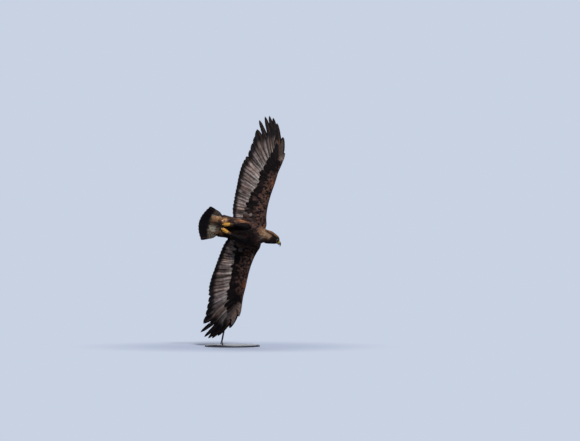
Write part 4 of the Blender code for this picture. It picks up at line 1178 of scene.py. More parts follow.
for label, side in SIDES:
    luck = np.random.default_rng(31 + side)
    for face, title in ((-1, "under"), (1, "upper")):
        groups = []
        for row, (share, spacing, arm_length, hand_length, width, over) in enumerate(COVERT_ROWS):
            outs = np.arange(COVERTS_FROM + spacing * 0.5 * (row % 2), COVERTS_TO - 0.04 * share, spacing)
            outs = outs + spacing * 0.18 * luck.uniform(-1, 1, len(outs))
            share_here = share + 0.012 * luck.uniform(-1, 1, len(outs))
            front, rear = leading_edge(outs), arm_rear(outs)
            chord = front - rear
            root = np.column_stack((front - chord * share_here, outs))
            onto_hand = eased(0.45, 0.60, outs)
            narrow = np.clip(chord / 0.10, 0.35, 1.0) if row else np.ones(len(outs))
            length = (arm_length + (hand_length - arm_length) * onto_hand) * narrow
            if not row:
                length = along(GREATER_LENGTHS, outs)[..., 0]
            length = length * (1 + (0.22 if row < 2 else 0.10) * luck.uniform(-1, 1, len(outs)))
            way = lie_at(outs) + (0.06 if row > 1 else 0.03) * luck.normal(0, 1, (len(outs), 2))

            def on_face(x, out, above, side=side, face=face):
                return wing_place(side, x, out, face * (layer_height(x, out) + above))

            def rise(t, over=over):
                return -0.0030 + (over + 0.0030) * t**0.6

            breadth = width * (1 - (0.28 if row < 3 else 0.0) * eased(0.68, 0.74, outs))
            group = feathers(
                on_face, root, way, length, breadth * (1 + 0.08 * luck.uniform(-1, 1, len(outs))),
                COVERT_SHAPE if row else GREATER_SHAPE, rise, luck, across=(-1, -0.5, 0, 0.5, 1),
                stations=10 if row < 3 else 8, tilt=0.036 * (1 if face > 0 else 1), arch=0.0012,
                thick=0.00035, shaft=0.0003, rounded=0.62, ragged=0.03,
            )
            colours = covert_colours(row, share_here, outs, side, face < 0, luck)
            group["colour"] = plain_colours(colours, 0.15 if row else 0.3)
            first, wide = wing_bake["lower" if face < 0 else "upper"]
            u = 0.03 + 0.94 * (outs - COVERTS_FROM) / (COVERTS_TO - COVERTS_FROM)
            group["bake"] = patches(np.clip(u, 0.01, 0.99), 0.05 + 0.9 * share_here)
            groups.append(group)
        joined_feathers(f"wing_coverts_{title}_{label}", groups, covert_look)


# Scapulars on top and axillaries underneath: long, loose feathers rooted where wing and body
# meet, which lie back over the join. The alula is a tuft of four short, stiff quills rooted on
# the thumb, at the wrist, and laid outwards along the front of the hand.
# Rows from the front: share of the chord, distances out, length, width, height of the tips
JOIN_ROWS = {
    1: (
        (0.28, 0.060, 0.118, 0.060, 0.026, 0.0075),
        (0.46, 0.056, 0.132, 0.070, 0.029, 0.0085),
        (0.64, 0.054, 0.142, 0.080, 0.032, 0.0090),
        (0.82, 0.052, 0.146, 0.088, 0.034, 0.0080),
    ),
    -1: (
        (0.42, 0.088, 0.122, 0.056, 0.022, 0.0070),
        (0.60, 0.086, 0.134, 0.066, 0.025, 0.0080),
        (0.78, 0.084, 0.142, 0.074, 0.028, 0.0075),
    ),
}
JOIN_SPACING = 0.011
ALULA_QUILLS = (
    (0.118, 0.500, 0.096, 0.0100),
    (0.130, 0.503, 0.110, 0.0085),
    (0.141, 0.506, 0.118, 0.0070),
    (0.150, 0.508, 0.112, 0.0055),
)
ALULA_WIDTH = 0.024
ALULA_WAY = (0.02, 1.0)

for label, side in SIDES:
    luck = np.random.default_rng(71 + side)
    groups = []
    for face, rows in JOIN_ROWS.items():

        def on_join(x, out, above, side=side, face=face):
            return wing_place(side, x, out, face * (layer_height(x, out) + above))

        for row, (share, first_out, last_out, length, width, over) in enumerate(rows):
            outs = np.arange(first_out + JOIN_SPACING * 0.5 * (row % 2), last_out, JOIN_SPACING)
            outs = outs + 0.2 * JOIN_SPACING * luck.uniform(-1, 1, len(outs))
            front, rear = leading_edge(outs), arm_rear(outs)
            share_here = share + 0.03 * luck.uniform(-1, 1, len(outs))
            root = np.column_stack((front - (front - rear) * share_here, outs))
            way = np.column_stack((np.full(len(outs), -1.0), 0.12 + 0.10 * luck.normal(0, 1, len(outs))))

            def rise(t, over=over):
                return -0.0010 + (over + 0.0010) * t**0.5

            group = feathers(
                on_join, root, way, length * (1 + 0.14 * luck.uniform(-1, 1, len(outs))), width, COVERT_SHAPE,
                rise, luck, stations=11, arch=0.0014, thick=0.0004, shaft=0.0004, rounded=0.62, ragged=0.03,
            )
            tones = blended(COVERT_DARK, COVERT_BROWN if face < 0 else UPPER_BROWN * 1.3, luck.uniform(0.1, 0.8, len(outs)))
            group["colour"] = plain_colours(tones, 0.15)
            group["bake"] = patches(5 * outs, 0.5 * share_here + (0.02 if face > 0 else 0.52))
            groups.append(group)
    joined_feathers(f"scapulars_{label}", groups, covert_look)

    def on_hand(x, out, above, side=side):
        return wing_place(side, x, out, layer_height(x, out) + above)

    root = np.array([quill[:2] for quill in ALULA_QUILLS])
    count = len(root)
    heights = np.array([quill[3] for quill in ALULA_QUILLS])

    def alula_rise(t, heights=heights):
        return -0.002 + (heights[:, None] * 0.5 + 0.004) * t**0.6

    group = feathers(
        on_hand, root, np.tile(ALULA_WAY, (count, 1)), np.array([quill[2] for quill in ALULA_QUILLS]), ALULA_WIDTH,
        PRIMARY_SHAPE, alula_rise, luck, across=FLIGHT_ACROSS, stations=20, bow=0.03, arch=0.0005, thick=0.0003,
        shaft=0.0007, rounded=0.94, ragged=0.012,
    )
    group["colour"] = plain_colours(blended(BLACKISH, UPPER_BROWN, luck.uniform(0.2, 0.6, count)), 0.1)
    group["bake"] = strips(0, count, (0.0, 1.0))
    joined_feathers(f"alula_{label}", [group], flight_look)


# The tail: twelve broad feathers in a part-spread fan, the middle pair on top, black towards
# the end and barred with grey at the base, with coverts over and under their roots.
TAIL_PAIRS = 6
TAIL_FROM = 0.085
TAIL_FROM_ACROSS = (0.006, 0.100)
TAIL_TIPS_ACROSS = (0.0130, 0.1440)
TAIL_LENGTHS = (0.268, 0.216)
TAIL_ROUNDED = 1.7
TAIL_SHAPE = (
    (0.0, 0.05, 0.07),
    (0.16, 0.24, 0.40),
    (0.50, 0.33, 0.62),
    (0.86, 0.37, 0.66),
    (1.0, 0.34, 0.60),
)
TAIL_WIDTH = 0.054
TAIL_LAYER = 0.0013
TAIL_ARCH = 0.5
TAIL_GREY = from_screen(196, 176, 150)


def on_tail(behind, across, above):
    return tail_place(-behind, across, above - TAIL_ARCH * across**2)


def tail_colours(outer, luck):
    """Black from past the middle, and greyer and more barred towards the outer feathers' base."""
    shade = 1 + 0.12 * luck.uniform(-1, 1, (len(outer), 1, 1))

    def colour(across, t, low):
        end = eased(0.42, 0.60, t)
        pale = 0.06 + 0.85 * np.exp(-(((outer[:, None] - 0.72) / 0.22) ** 2))
        base = blended(BLACKISH, TAIL_GREY, pale * (1 - end) * np.where(low[None, :], 1.0, 0.6))
        bars = (1 - end) * 0.9 + 0 * across
        return np.concatenate((base * shade, bars[..., None]), -1)

    return colour


tail_look = feather_look("tail_feather", BLACKISH, 0.85, from_screen(96, 74, 58), 0.7, 220.0, 0.10, 7.0, 0.45)
luck = np.random.default_rng(7)
groups = []
for pair in range(TAIL_PAIRS):
    share = pair / (TAIL_PAIRS - 1)
    length = TAIL_LENGTHS[0] + (TAIL_LENGTHS[1] - TAIL_LENGTHS[0]) * share**TAIL_ROUNDED
    root_across = TAIL_FROM_ACROSS[0] + (TAIL_FROM_ACROSS[1] - TAIL_FROM_ACROSS[0]) * share
    tip_across = TAIL_TIPS_ACROSS[0] + (TAIL_TIPS_ACROSS[1] - TAIL_TIPS_ACROSS[0]) * share
    for hand in (1, -1):
        layer = TAIL_LAYER * ((TAIL_PAIRS - 1) / 2 - pair - (0.5 if hand < 0 else 0.0))
        root = np.array(((-TAIL_FROM, hand * root_across),))
        way = np.array(((-length + TAIL_FROM, hand * (tip_across - root_across)),))
        outline = [(t, *((a, b) if hand > 0 else (b, a))) for t, a, b in TAIL_SHAPE]
        group = feathers(
            on_tail, root, way, float(np.linalg.norm(way)), TAIL_WIDTH, outline, lambda t: layer + 0 * t, luck,
            across=FLIGHT_ACROSS, stations=36, arch=0.0006, thick=0.00025, shaft=0.0009, notches=1,
            rounded=0.90, ragged=0.008,
        )
        group["colour"] = tail_colours(np.array((share,)), luck)
        group["bake"] = strips(2 * pair + (hand < 0), 2 * TAIL_PAIRS, (0.0, 1.0))
        groups.append(group)
joined_feathers("tail_feathers", groups, tail_look, ("tail",))

# Tail coverts by face: rows from the rear, each with the place behind the tail's root, count,
# half spread, length, width, and the height of the roots and of the tips
TAIL_COVERT_ROWS = {
    1: (
        (0.062, 11, 0.046, 0.095, 0.030, 0.014, 0.0050),
        (0.040, 11, 0.048, 0.080, 0.028, 0.020, 0.0085),
        (0.018, 12, 0.050, 0.070, 0.026, 0.027, 0.0125),
        (-0.004, 12, 0.052, 0.060, 0.024, 0.034, 0.0190),
    ),
    -1: (
        (0.066, 9, 0.040, 0.105, 0.032, 0.014, 0.0085),
        (0.046, 10, 0.044, 0.095, 0.030, 0.019, 0.0115),
        (0.024, 11, 0.048, 0.085, 0.028, 0.025, 0.0150),
        (0.002, 12, 0.050, 0.070, 0.026, 0.032, 0.0200),
    ),
}
tail_covert_look = feather_look("tail_covert", from_screen(176, 128, 92), 0.4, from_screen(120, 88, 64), 0.4, 90.0, 0.25, 4.0)
for face, title in ((1, "upper"), (-1, "under")):
    groups = []
    luck = np.random.default_rng(53 + face)
    for behind, count, half_spread, length, width, root_height, tip_height in TAIL_COVERT_ROWS[face]:
        acrosses = spread(-half_spread, half_spread, count)
        side_drop = (acrosses / half_spread) ** 2
        root = np.column_stack((np.full(count, -behind), acrosses))
        way = np.column_stack((np.full(count, -1.0), acrosses * 7.0)) + 0.05 * luck.normal(0, 1, (count, 2))
        starts = root_height * (1 - 0.55 * side_drop) - 0.006
        ends = tip_height - 0.0008 * np.abs(np.arange(count) - (count - 1) / 2)

        def rise(t):
            return starts[:, None] + (ends - starts)[:, None] * eased(0.0, 0.75, t) + 0.002 * t

        def on_tail_face(behind, across, above, face=face):
            return tail_place(-behind, across, face * above - TAIL_ARCH * across**2)

        group = feathers(
            on_tail_face, root, way, length * (1 + 0.08 * luck.uniform(-1, 1, count)), width, COVERT_SHAPE, rise,
            luck, stations=10, arch=0.0015, thick=0.00035, shaft=0.0003, rounded=0.62, ragged=0.03,
        )
        places = tail_place(-root[:, 0] + length * 0.5, root[:, 1], np.full(count, face * 0.01))
        colours = markings_and_painted_shade(places) if face < 0 else blended(UPPER_BROWN, RUFOUS, 0.3 * luck.uniform(0, 1, count))
        group["colour"] = plain_colours(colours * (1 + 0.15 * luck.uniform(-1, 1, (count, 1))), 0.1)
        group["bake"] = patches(0.5 + acrosses * 8, np.full(count, 0.2 + behind * 8))
        groups.append(group)
    joined_feathers(f"tail_coverts_{title}", groups, tail_covert_look)


# Body plumage: small contour feathers in staggered rows all over the torso, lying back along it.
# Rows run round the skin from tail to head; each stretch gives the run of skin it covers, the
# spacing of rows and of feathers, the length, width, height of the tips and how pointed they are.
tail_end = float(np.interp(TAIL_ROOT[0], body.rings.mean(1)[:, 0], body.lengths))
neck_at = float(np.interp(TORSO[-1][0], body.rings.mean(1)[:, 0], body.lengths))
head_at = float(body.lengths[12 + 40 + 24])
body_end = float(body.lengths[-1])
CONTOUR_SHAPE = ((0.0, 0.14, 0.14), (0.35, 0.42, 0.42), (0.70, 0.50, 0.50), (1.0, 0.38, 0.38))
HACKLE_SHAPE = ((0.0, 0.16, 0.16), (0.35, 0.46, 0.46), (0.65, 0.44, 0.44), (0.9, 0.22, 0.22), (1.0, 0.10, 0.10))


def contour_rows(hide, first, last, row_gap, side_gap, length, width, over, outline, luck, keep=None, towards=-1,
                 rounded=0.62, sink=0.0022, stations=7, wander=0.10):
    """Staggered rows of feathers over a stretch of skin. Pairs of sizes go from first to last."""
    runs, turns, shares = [], [], []
    run = first
    row = 0
    while run < last:
        share = (run - first) / max(last - first, 1e-9)
        gap = side_gap[0] + (side_gap[1] - side_gap[0]) * share
        count = max(int(hide.girth(run) / gap), 5)
        turn = (np.arange(count) + 0.5 * (row % 2)) / count
        turns.append(turn + 0.22 / count * luck.uniform(-1, 1, count))
        runs.append(run + 0.25 * row_gap[0] * luck.uniform(-1, 1, count))
        shares.append(np.full(count, share))
        run += row_gap[0] + (row_gap[1] - row_gap[0]) * share
        row += 1
    runs, turns, shares = np.concatenate(runs), np.concatenate(turns), np.concatenate(shares)
    spots = hide.place(runs, turns, np.zeros(len(runs)))
    if keep is not None:
        kept = keep(spots)
        runs, turns, shares, spots = runs[kept], turns[kept], shares[kept], spots[kept]
    count = len(runs)

    def between(pair):
        return pair[0] + (pair[1] - pair[0]) * shares

    way = np.column_stack((np.full(count, float(towards)), wander * luck.normal(0, 1, count)))
    tips = between(over)

    def rise(t):
        return -sink + (tips[:, None] + sink) * t**0.7

    group = feathers(
        hide.place, np.column_stack((runs, turns)), way, between(length) * (1 + 0.12 * luck.uniform(-1, 1, count)),
        between(width) * (1 + 0.10 * luck.uniform(-1, 1, count)), outline, rise, luck, across=(-1, 0, 1),
        stations=stations, scale=np.column_stack((np.ones(count), 1 / hide.girth(runs))), arch=0.0008,
        thick=0.00045, shaft=0.0002, rounded=rounded, ragged=0.03,
    )
    group["bake"] = patches(np.mod(turns, 1.0) * 0.96 + 0.02, 0.02 + 0.96 * np.clip(runs / hide.lengths[-1], 0, 1))
    return group, spots, shares


def clear_of_arms(spots):
    """Whether a place on the body is outside the roots of the wings."""
    x, y, z = spots.T
    out = np.abs(y)
    side = np.where(y > 0, 1, -1)
    sweep = np.array([math.tan(math.radians(SWEEP_DEG[s])) for s in side])
    share = (leading_edge(out) - (x - sweep * out)) / (leading_edge(out) - arm_rear(out))
    middle = wing_place(1, x, out, 0)[..., 2]
    inside = (share > 0.02) & (share < 0.98) & (np.abs(z - middle) < arm_half(share, out) - 0.004) & (out > 0.05)
    return ~inside


body_look = feather_look("body_feather", from_screen(130, 94, 74), 0.20, from_screen(40, 30, 27), 0.35, 60.0, 0.3, 3.0)
luck = np.random.default_rng(17)
group, spots, shares = contour_rows(
    body, tail_end - 0.03, neck_at + 0.015, (0.0092, 0.0080), (0.0104, 0.0088), (0.042, 0.032), (0.0180, 0.0145),
    (0.0075, 0.0070), CONTOUR_SHAPE, luck, clear_of_arms,
)
tones = markings_and_painted_shade(spots) * (1 + 0.6 * luck.uniform(-1, 1, (len(spots), 1)))
pale = (luck.uniform(0, 1, len(spots)) < 0.20) * eased(-0.03, -0.06, spots[:, 1])
group["colour"] = plain_colours(blended(tones, from_screen(128, 94, 78), 0.6 * pale))
rump, spots, shares = contour_rows(
    body, tail_end - 0.080, tail_end - 0.028, (0.0095, 0.0092), (0.0110, 0.0104), (0.046, 0.042), (0.0200, 0.0180),
    (0.0085, 0.0078), CONTOUR_SHAPE, luck, lambda spots: spots[:, 2] > TAIL_ROOT[2] + 0.006,
)
rump["colour"] = plain_colours(markings_and_painted_shade(spots) * (1 + 0.5 * luck.uniform(-1, 1, (len(spots), 1))))
joined_feathers("body_feathers", [group, rump], body_look)

# Neck hackles: long, narrow, pointed golden feathers on the nape, browner under the throat.
hackle_look = feather_look("hackle", PALE_GOLD, 0.28, from_screen(60, 40, 28), 0.7, 60.0, 0.3, 3.0)
luck = np.random.default_rng(19)
group, spots, shares = contour_rows(
    body, neck_at + 0.004, head_at + 0.012, (0.0076, 0.0058), (0.0082, 0.0060), (0.040, 0.028), (0.0112, 0.0074),
    (0.0065, 0.0045), HACKLE_SHAPE, luck, clear_of_arms, rounded=0.86,
)
tones = markings_and_painted_shade(spots) * (1 + 0.6 * luck.uniform(-1, 1, (len(spots), 1)))
flecked = around(moved(spots, head_frame.inverted()) * (1, 0, 1), (-0.119, 0, -0.055), (0.030, 1, 0.022))
tones = blended(tones, from_screen(226, 206, 178), (luck.uniform(0, 1, len(spots)) < 0.45) * flecked)
tones = blended(tones, DARK_FACE, 0.75 * (luck.uniform(0, 1, len(spots)) < 0.20) * (1 - flecked))
group["colour"] = plain_colours(tones)
joined_feathers("neck_hackles", [group], hackle_look)

# Head feathers: short and close, ever smaller towards the bill.
head_feather_look = feather_look("head_feather", RUFOUS, 0.12, from_screen(50, 36, 28), 0.5, 40.0, 0.3, 3.0)
luck = np.random.default_rng(23)


def on_face(spots):
    """Whether a place on the head is clear of the eye and its lids."""
    h = moved(spots, head_frame.inverted())
    return ((h[:, 0] - 0.0170) ** 2 + (h[:, 2] - 0.0040) ** 2 > 0.0090**2) | (np.abs(h[:, 1]) < 0.015)


group, spots, shares = contour_rows(
    body, head_at + 0.008, body_end - 0.0005, (0.0050, 0.0022), (0.0054, 0.0027), (0.023, 0.0060), (0.0064, 0.0028),
    (0.0036, 0.0012), HACKLE_SHAPE, luck, on_face, rounded=0.80, sink=0.0010, stations=6,
)
tones = markings_and_painted_shade(spots) * (1 + 0.25 * luck.uniform(-1, 1, (len(spots), 1)))
group["colour"] = plain_colours(blended(tones, DARK_FACE, 0.6 * (luck.uniform(0, 1, len(spots)) < 0.12)))
joined_feathers("head_feathers", [group], head_feather_look)

# Leg feathers: loose, soft feathers over the thighs, short and close down to the toes.
for label, side in SIDES:
    luck = np.random.default_rng(41 + side)
    hide = legs[side]
    group, spots, shares = contour_rows(
        hide, 0.004, hide.lengths[-1] - 0.002, (0.0095, 0.0048), (0.0115, 0.0055), (0.036, 0.013), (0.017, 0.0065),
        (0.0055, 0.0022), CONTOUR_SHAPE, luck, towards=1, sink=0.0018,
    )
    tones = blended(BLACKISH, from_screen(120, 92, 66), 0.8 * eased(0.70, 0.92, shares))
    group["colour"] = plain_colours(tones * (1 + 0.2 * luck.uniform(-1, 1, (len(spots), 1))))
    joined_feathers(f"leg_feathers_{label}", [group], body_look)


def number_on(tree, title):
    """The node that reads a number that a piece carries along its surface."""
    read = tree.nodes.new("ShaderNodeAttribute")
    read.attribute_name = title
    return read.outputs["Fac"]


# The eyes: large hazel balls set deep under the brow, each with a swollen clear front, turned
# outwards and a little forwards in a ring of bare, yellowish lid.
EYE_AT = (0.0170, 0.0232, 0.0040)
EYE_RADIUS = 0.0094
EYE_FORWARD_DEG = 20.0
PUPIL_DEG = 21.0
IRIS_DEG = 46.0
CORNEA_DEG = 42.0
CORNEA_SWELL = 0.0006
LID_RADIUS = 0.0083
LID_THICK = 0.0009
LID_OUT = 0.0050
AMBER = from_screen(132, 84, 38)
HAZEL = from_screen(78, 47, 24)
BARE_SKIN = from_screen(94, 80, 55)
in_head = to_world @ head_frame

eye_look, tree, shader = new_look("eye", 0.06)
shader.inputs["Coat Weight"].default_value = 1.0
gaze = number_on(tree, "Gaze")
streaks = noise_at(tree, 1400.0, 3.0, 0.6)
iris = mix_colour(tree, streaks, AMBER, HAZEL)
iris = mix_colour(tree, soft_step(tree, gaze, IRIS_DEG - 12, IRIS_DEG), iris, HAZEL * 0.12)
tree.links.new(mix_colour(tree, soft_step(tree, gaze, PUPIL_DEG + 1.5, PUPIL_DEG - 1.5), iris, (0.002,) * 3),
               shader.inputs["Base Color"])

lid_look, tree, shader = new_look("lid_skin", 0.5, 0.4)
creases = noise_at(tree, 900.0, 4.0, 0.6)
tree.links.new(mix_colour(tree, creases, BARE_SKIN, BARE_SKIN * 0.35), shader.inputs["Base Color"])
raised(tree, shader, creases, 0.5, 0.0005)

for label, side in SIDES:
    swing = Matrix.Rotation(math.radians(-side * EYE_FORWARD_DEG), 4, "Z")
    outwards = swing @ Matrix.Rotation(math.radians(-side * 90), 4, "X")
    at = Matrix.Translation((EYE_AT[0], side * EYE_AT[1], EYE_AT[2]))
    shape = bmesh.new()
    bmesh.ops.create_uvsphere(shape, u_segments=48, v_segments=40, radius=EYE_RADIUS)
    gaze = shape.verts.layers.float.new("Gaze")
    for vert in shape.verts:
        vert[gaze] = math.degrees(vert.co.angle((0, 0, 1)))
        vert.co *= 1 + CORNEA_SWELL / EYE_RADIUS * float(eased(CORNEA_DEG, 0.0, vert[gaze]))
    bmesh.ops.transform(shape, matrix=at @ outwards, verts=shape.verts)
    piece_of(f"eyeball_{label}", shape, eye_look, (f"eye_{label}",), in_head)

    shape = bmesh.new()
    upright = Matrix.Translation((LID_RADIUS, 0, 0)) @ Matrix.Rotation(math.radians(90), 4, "X")
    bmesh.ops.create_circle(shape, segments=12, radius=LID_THICK, matrix=upright)
    rim = shape.verts[:] + shape.edges[:]
    bmesh.ops.spin(shape, geom=rim, axis=(0, 0, 1), cent=(0, 0, 0), angle=2 * math.pi, steps=56, use_merge=True)
    bmesh.ops.recalc_face_normals(shape, faces=shape.faces)
    lid_at = at @ outwards @ Matrix.Translation((0, 0, LID_OUT)) @ Matrix.Diagonal((1.0, 0.93, 1.15, 1.0))
    bmesh.ops.transform(shape, matrix=lid_at, verts=shape.verts)
    piece_of(f"lid_{label}", shape, lid_look, (), in_head)

    # The bony shelf of the brow, bare along its edge, gives the bird its stern look.
    shelf = ((0.0020, side * 0.0300, 0.0140), (0.0100, side * 0.0310, 0.0148), (0.0200, side * 0.0292, 0.0136),
             (0.0300, side * 0.0222, 0.0100))
    shape = tube_shape(tube_rings(shelf, (0.0006, 0.0020, 0.0024, 0.0006), 20, 28, 0.6))
    piece_of(f"brow_{label}", shape, lid_look, (), in_head)


# The bill: a deep, hooked upper half over a shorter lower one, horn that goes from blue-grey at
# the root to black at the tip, with a waxy yellow cere pierced by slanting nostrils, and a
# fleshy yellow gape that runs back under the eye.
BILL_UPPER = (
    ((0.0373, 0.0148), (0.0373, -0.0103), 0.0145),
    ((0.0470, 0.0138), (0.0480, -0.0115), 0.0128),
    ((0.0580, 0.0092), (0.0570, -0.0123), 0.0102),
    ((0.0680, 0.0004), (0.0640, -0.0133), 0.0074),
    ((0.0738, -0.0090), (0.0683, -0.0168), 0.0048),
    ((0.0758, -0.0185), (0.0716, -0.0230), 0.0025),
    ((0.0755, -0.0268), (0.0741, -0.0276), 0.0008),
)
BILL_LOWER = (
    ((0.0373, -0.0109), (0.0373, -0.0212), 0.0130),
    ((0.0475, -0.0122), (0.0475, -0.0217), 0.0113),
    ((0.0565, -0.0131), (0.0565, -0.0207), 0.0086),
    ((0.0620, -0.0145), (0.0620, -0.0188), 0.0046),
)
UPPER_WIDEST = 0.28
LOWER_WIDEST = 0.72
NOSTRIL_AT = (0.0445, 0.0130, 0.0040)
NOSTRIL_REACH = (0.0032, 0.0013)
NOSTRIL_DEEP = 0.0034
NOSTRIL_SLANT_DEG = 35.0
CERE_TO = 0.27
CERE_SWELL = 0.0007
GAPE = (
    (0.0560, 0.0064, -0.0112),
    (0.0450, 0.0104, -0.0106),
    (0.0340, 0.0172, -0.0120),
    (0.0260, 0.0232, -0.0136),
    (0.0170, 0.0272, -0.0158),
)
HORN_ROOT = from_screen(86, 92, 100)
HORN_TIP = from_screen(17, 17, 20)
CERE_YELLOW = from_screen(200, 178, 104)


def bill_rings(stations, widest, sides, steps):
    """Rings through a half of the bill. Each station gives its top, its bottom and half its width."""
    places = np.linspace(0, 1, len(stations))
    keys = [(t, *top, *low, half) for t, (top, low, half) in zip(places, stations)]
    angles = np.arange(sides) * 2 * math.pi / sides
    rings = []
    for top_x, top_z, low_x, low_z, half in along(keys, np.linspace(0, 1, steps)):
        rise = np.sin(angles)
        share = np.where(rise > 0, widest + (1 - widest) * rise, widest + widest * rise)
        across = half * np.cos(angles) * (1 - 0.14 * np.maximum(rise, 0) ** 2)
        rings.append(np.column_stack((low_x + (top_x - low_x) * share, across, low_z + (top_z - low_z) * share)))
    return np.array(rings)


horn_look, tree, shader = new_look("horn", 0.28)
shader.inputs["Coat Weight"].default_value = 0.25
shader.inputs["Coat Roughness"].default_value = 0.2
run = number_on(tree, "Run")
growth = noise_at(tree, 260.0, 4.0, 0.6)
dark = soft_step(tree, sums(tree, "ADD", run, sums(tree, "MULTIPLY", growth, 0.16)), 0.22, 0.58)
worn_horn = mix_colour(tree, dark, HORN_ROOT, HORN_TIP)
tree.links.new(mix_colour(tree, sums(tree, "MULTIPLY", growth, 0.25), worn_horn, HORN_ROOT), shader.inputs["Base Color"])
tree.links.new(sums(tree, "ADD", 0.18, sums(tree, "MULTIPLY", growth, 0.3)), shader.inputs["Roughness"])
raised(tree, shader, growth, 0.25, 0.0004)

wax_look, tree, shader = new_look("cere_wax", 0.42, 0.4)
shader.inputs["Subsurface Weight"].default_value = 0.1
shader.inputs["Subsurface Radius"].default_value = (0.002, 0.001, 0.0006)
pores = noise_at(tree, 700.0, 4.0, 0.65)
tree.links.new(mix_colour(tree, pores, CERE_YELLOW, CERE_YELLOW * 0.45), shader.inputs["Base Color"])
raised(tree, shader, pores, 0.35, 0.0004)

rings = bill_rings(BILL_UPPER, UPPER_WIDEST, 48, 120)
middles = rings.mean(1, keepdims=True)
under_cere = 1 - 0.32 * eased(CERE_TO - 0.02, CERE_TO - 0.06, np.linspace(0, 1, 120))
rings = middles + (rings - middles) * under_cere[:, None, None]
piece_of("bill_horn_upper", tube_shape(rings), horn_look, ("bill_upper",), in_head)
piece_of("bill_horn_lower", tube_shape(bill_rings(BILL_LOWER, LOWER_WIDEST, 48, 48)), horn_look,
         ("bill_lower",), in_head)

rings = bill_rings(BILL_UPPER, UPPER_WIDEST, 240, 300)
rings = rings[: int(CERE_TO * 300)]
middles = rings.mean(1, keepdims=True)
spoke = rings - middles
swell = CERE_SWELL * np.sin(np.linspace(0.5, 1.0, len(rings)) * math.pi) ** 0.4
spoke = spoke * (1 + swell[:, None, None] / np.linalg.norm(spoke, axis=-1, keepdims=True))
rings = middles + spoke
slant = math.radians(NOSTRIL_SLANT_DEG)
off_x, off_z = rings[..., 0] - NOSTRIL_AT[0], rings[..., 2] - NOSTRIL_AT[2]
long_way = (off_x * math.cos(slant) - off_z * math.sin(slant)) / NOSTRIL_REACH[0]
short_way = (off_x * math.sin(slant) + off_z * math.cos(slant)) / NOSTRIL_REACH[1]
away = long_way**2 + short_way**2
pushed = NOSTRIL_DEEP * eased(1.3, 0.5, away) - 0.0004 * np.exp(-((away - 2.0) ** 2))
rings[..., 1] -= np.sign(rings[..., 1]) * np.where(np.abs(rings[..., 1]) > 0.004, pushed, 0.0)
piece_of("cere", tube_shape(rings), wax_look, (), in_head)

for label, side in SIDES:
    shape = tube_shape(tube_rings(mirrored(GAPE, side), (0.0011, 0.0016, 0.0018, 0.0016, 0.0008), 20, 48, 0.8))
    piece_of(f"gape_{label}", shape, wax_look, (), in_head)


# The feet: four strong toes each, in orange-yellow skin with scutes along their tops and fine
# scales between, drawn back under the tail, each toe with a long, curved black claw.
FOOT_STEM = ((0.0, 0.0115), (0.008, 0.0125), (0.017, 0.0090))
TOES_FROM = 0.009
TOES = (
    ("inner", -0.0084, -0.0021, -20.0, -10.0, 14.0, 0.050, 0.0070, 0.036, 66.0),
    ("middle", -0.0003, -0.0052, -16.0, -12.0, 12.0, 0.065, 0.0073, 0.032, 60.0),
    ("outer", 0.0081, -0.0018, -12.0, -10.0, 14.0, 0.052, 0.0066, 0.028, 64.0),
    ("hind", -0.0020, 0.0085, -18.0, 60.0, 36.0, 0.027, 0.0080, 0.042, -24.0),
)
TOE_SHAPE = (0.92, 1.0, 0.88, 0.94, 0.72)
CLAW_BASE = 0.62
CLAW_SHAPE = (1.0, 0.90, 0.70, 0.48, 0.28, 0.10)
FOOT_YELLOW = from_screen(248, 204, 88)
FOOT_ORANGE = from_screen(226, 160, 58)

foot_look, tree, shader = new_look("scaled_skin", 0.46, 0.4)
cells = tree.nodes.new("ShaderNodeTexVoronoi")
cells.feature = "DISTANCE_TO_EDGE"
cells.inputs["Scale"].default_value = 520.0
tree.links.new(tree.nodes.new("ShaderNodeTexCoord").outputs["Object"], cells.inputs["Vector"])
scale_top = soft_step(tree, cells.outputs["Distance"], 0.02, 0.22)
scutes = sums(tree, "ABSOLUTE", sums(tree, "SINE", sums(tree, "MULTIPLY", number_on(tree, "Run"), 44.0)))
scute_top = soft_step(tree, scutes, 0.05, 0.5)
scaled = sums(tree, "MULTIPLY", scale_top, scute_top)
blotch = noise_at(tree, 70.0, 3.0, 0.6)
yellow = mix_colour(tree, blotch, FOOT_YELLOW, FOOT_ORANGE)
tree.links.new(mix_colour(tree, scaled, FOOT_ORANGE * 0.80, yellow), shader.inputs["Base Color"])
raised(tree, shader, scaled, 0.7, 0.0006)

claw_look, tree, shader = new_look("claw_horn", 0.22)
shader.inputs["Coat Weight"].default_value = 0.4
shader.inputs["Coat Roughness"].default_value = 0.15
growth = noise_at(tree, 320.0, 4.0, 0.6)
claw_dark = soft_step(tree, number_on(tree, "Run"), 0.0, 0.22)
tree.links.new(mix_colour(tree, sums(tree, "MULTIPLY", claw_dark, 0.9), from_screen(70, 64, 60),
                          mix_colour(tree, growth, HORN_TIP, HORN_TIP * 2.2)), shader.inputs["Base Color"])
raised(tree, shader, growth, 0.2, 0.0003)


def bent_path(root, yaw_deg, rises_deg, step):
    """Places from root backwards, one step for each rise angle, turned sideways by yaw."""
    places = [Vector(root)]
    yaw = math.radians(yaw_deg)
    for rise_deg in rises_deg:
        rise = math.radians(rise_deg)
        way = Vector((-math.cos(rise) * math.cos(yaw), math.cos(rise) * math.sin(yaw), math.sin(rise)))
        places.append(places[-1] + way * step)
    return places


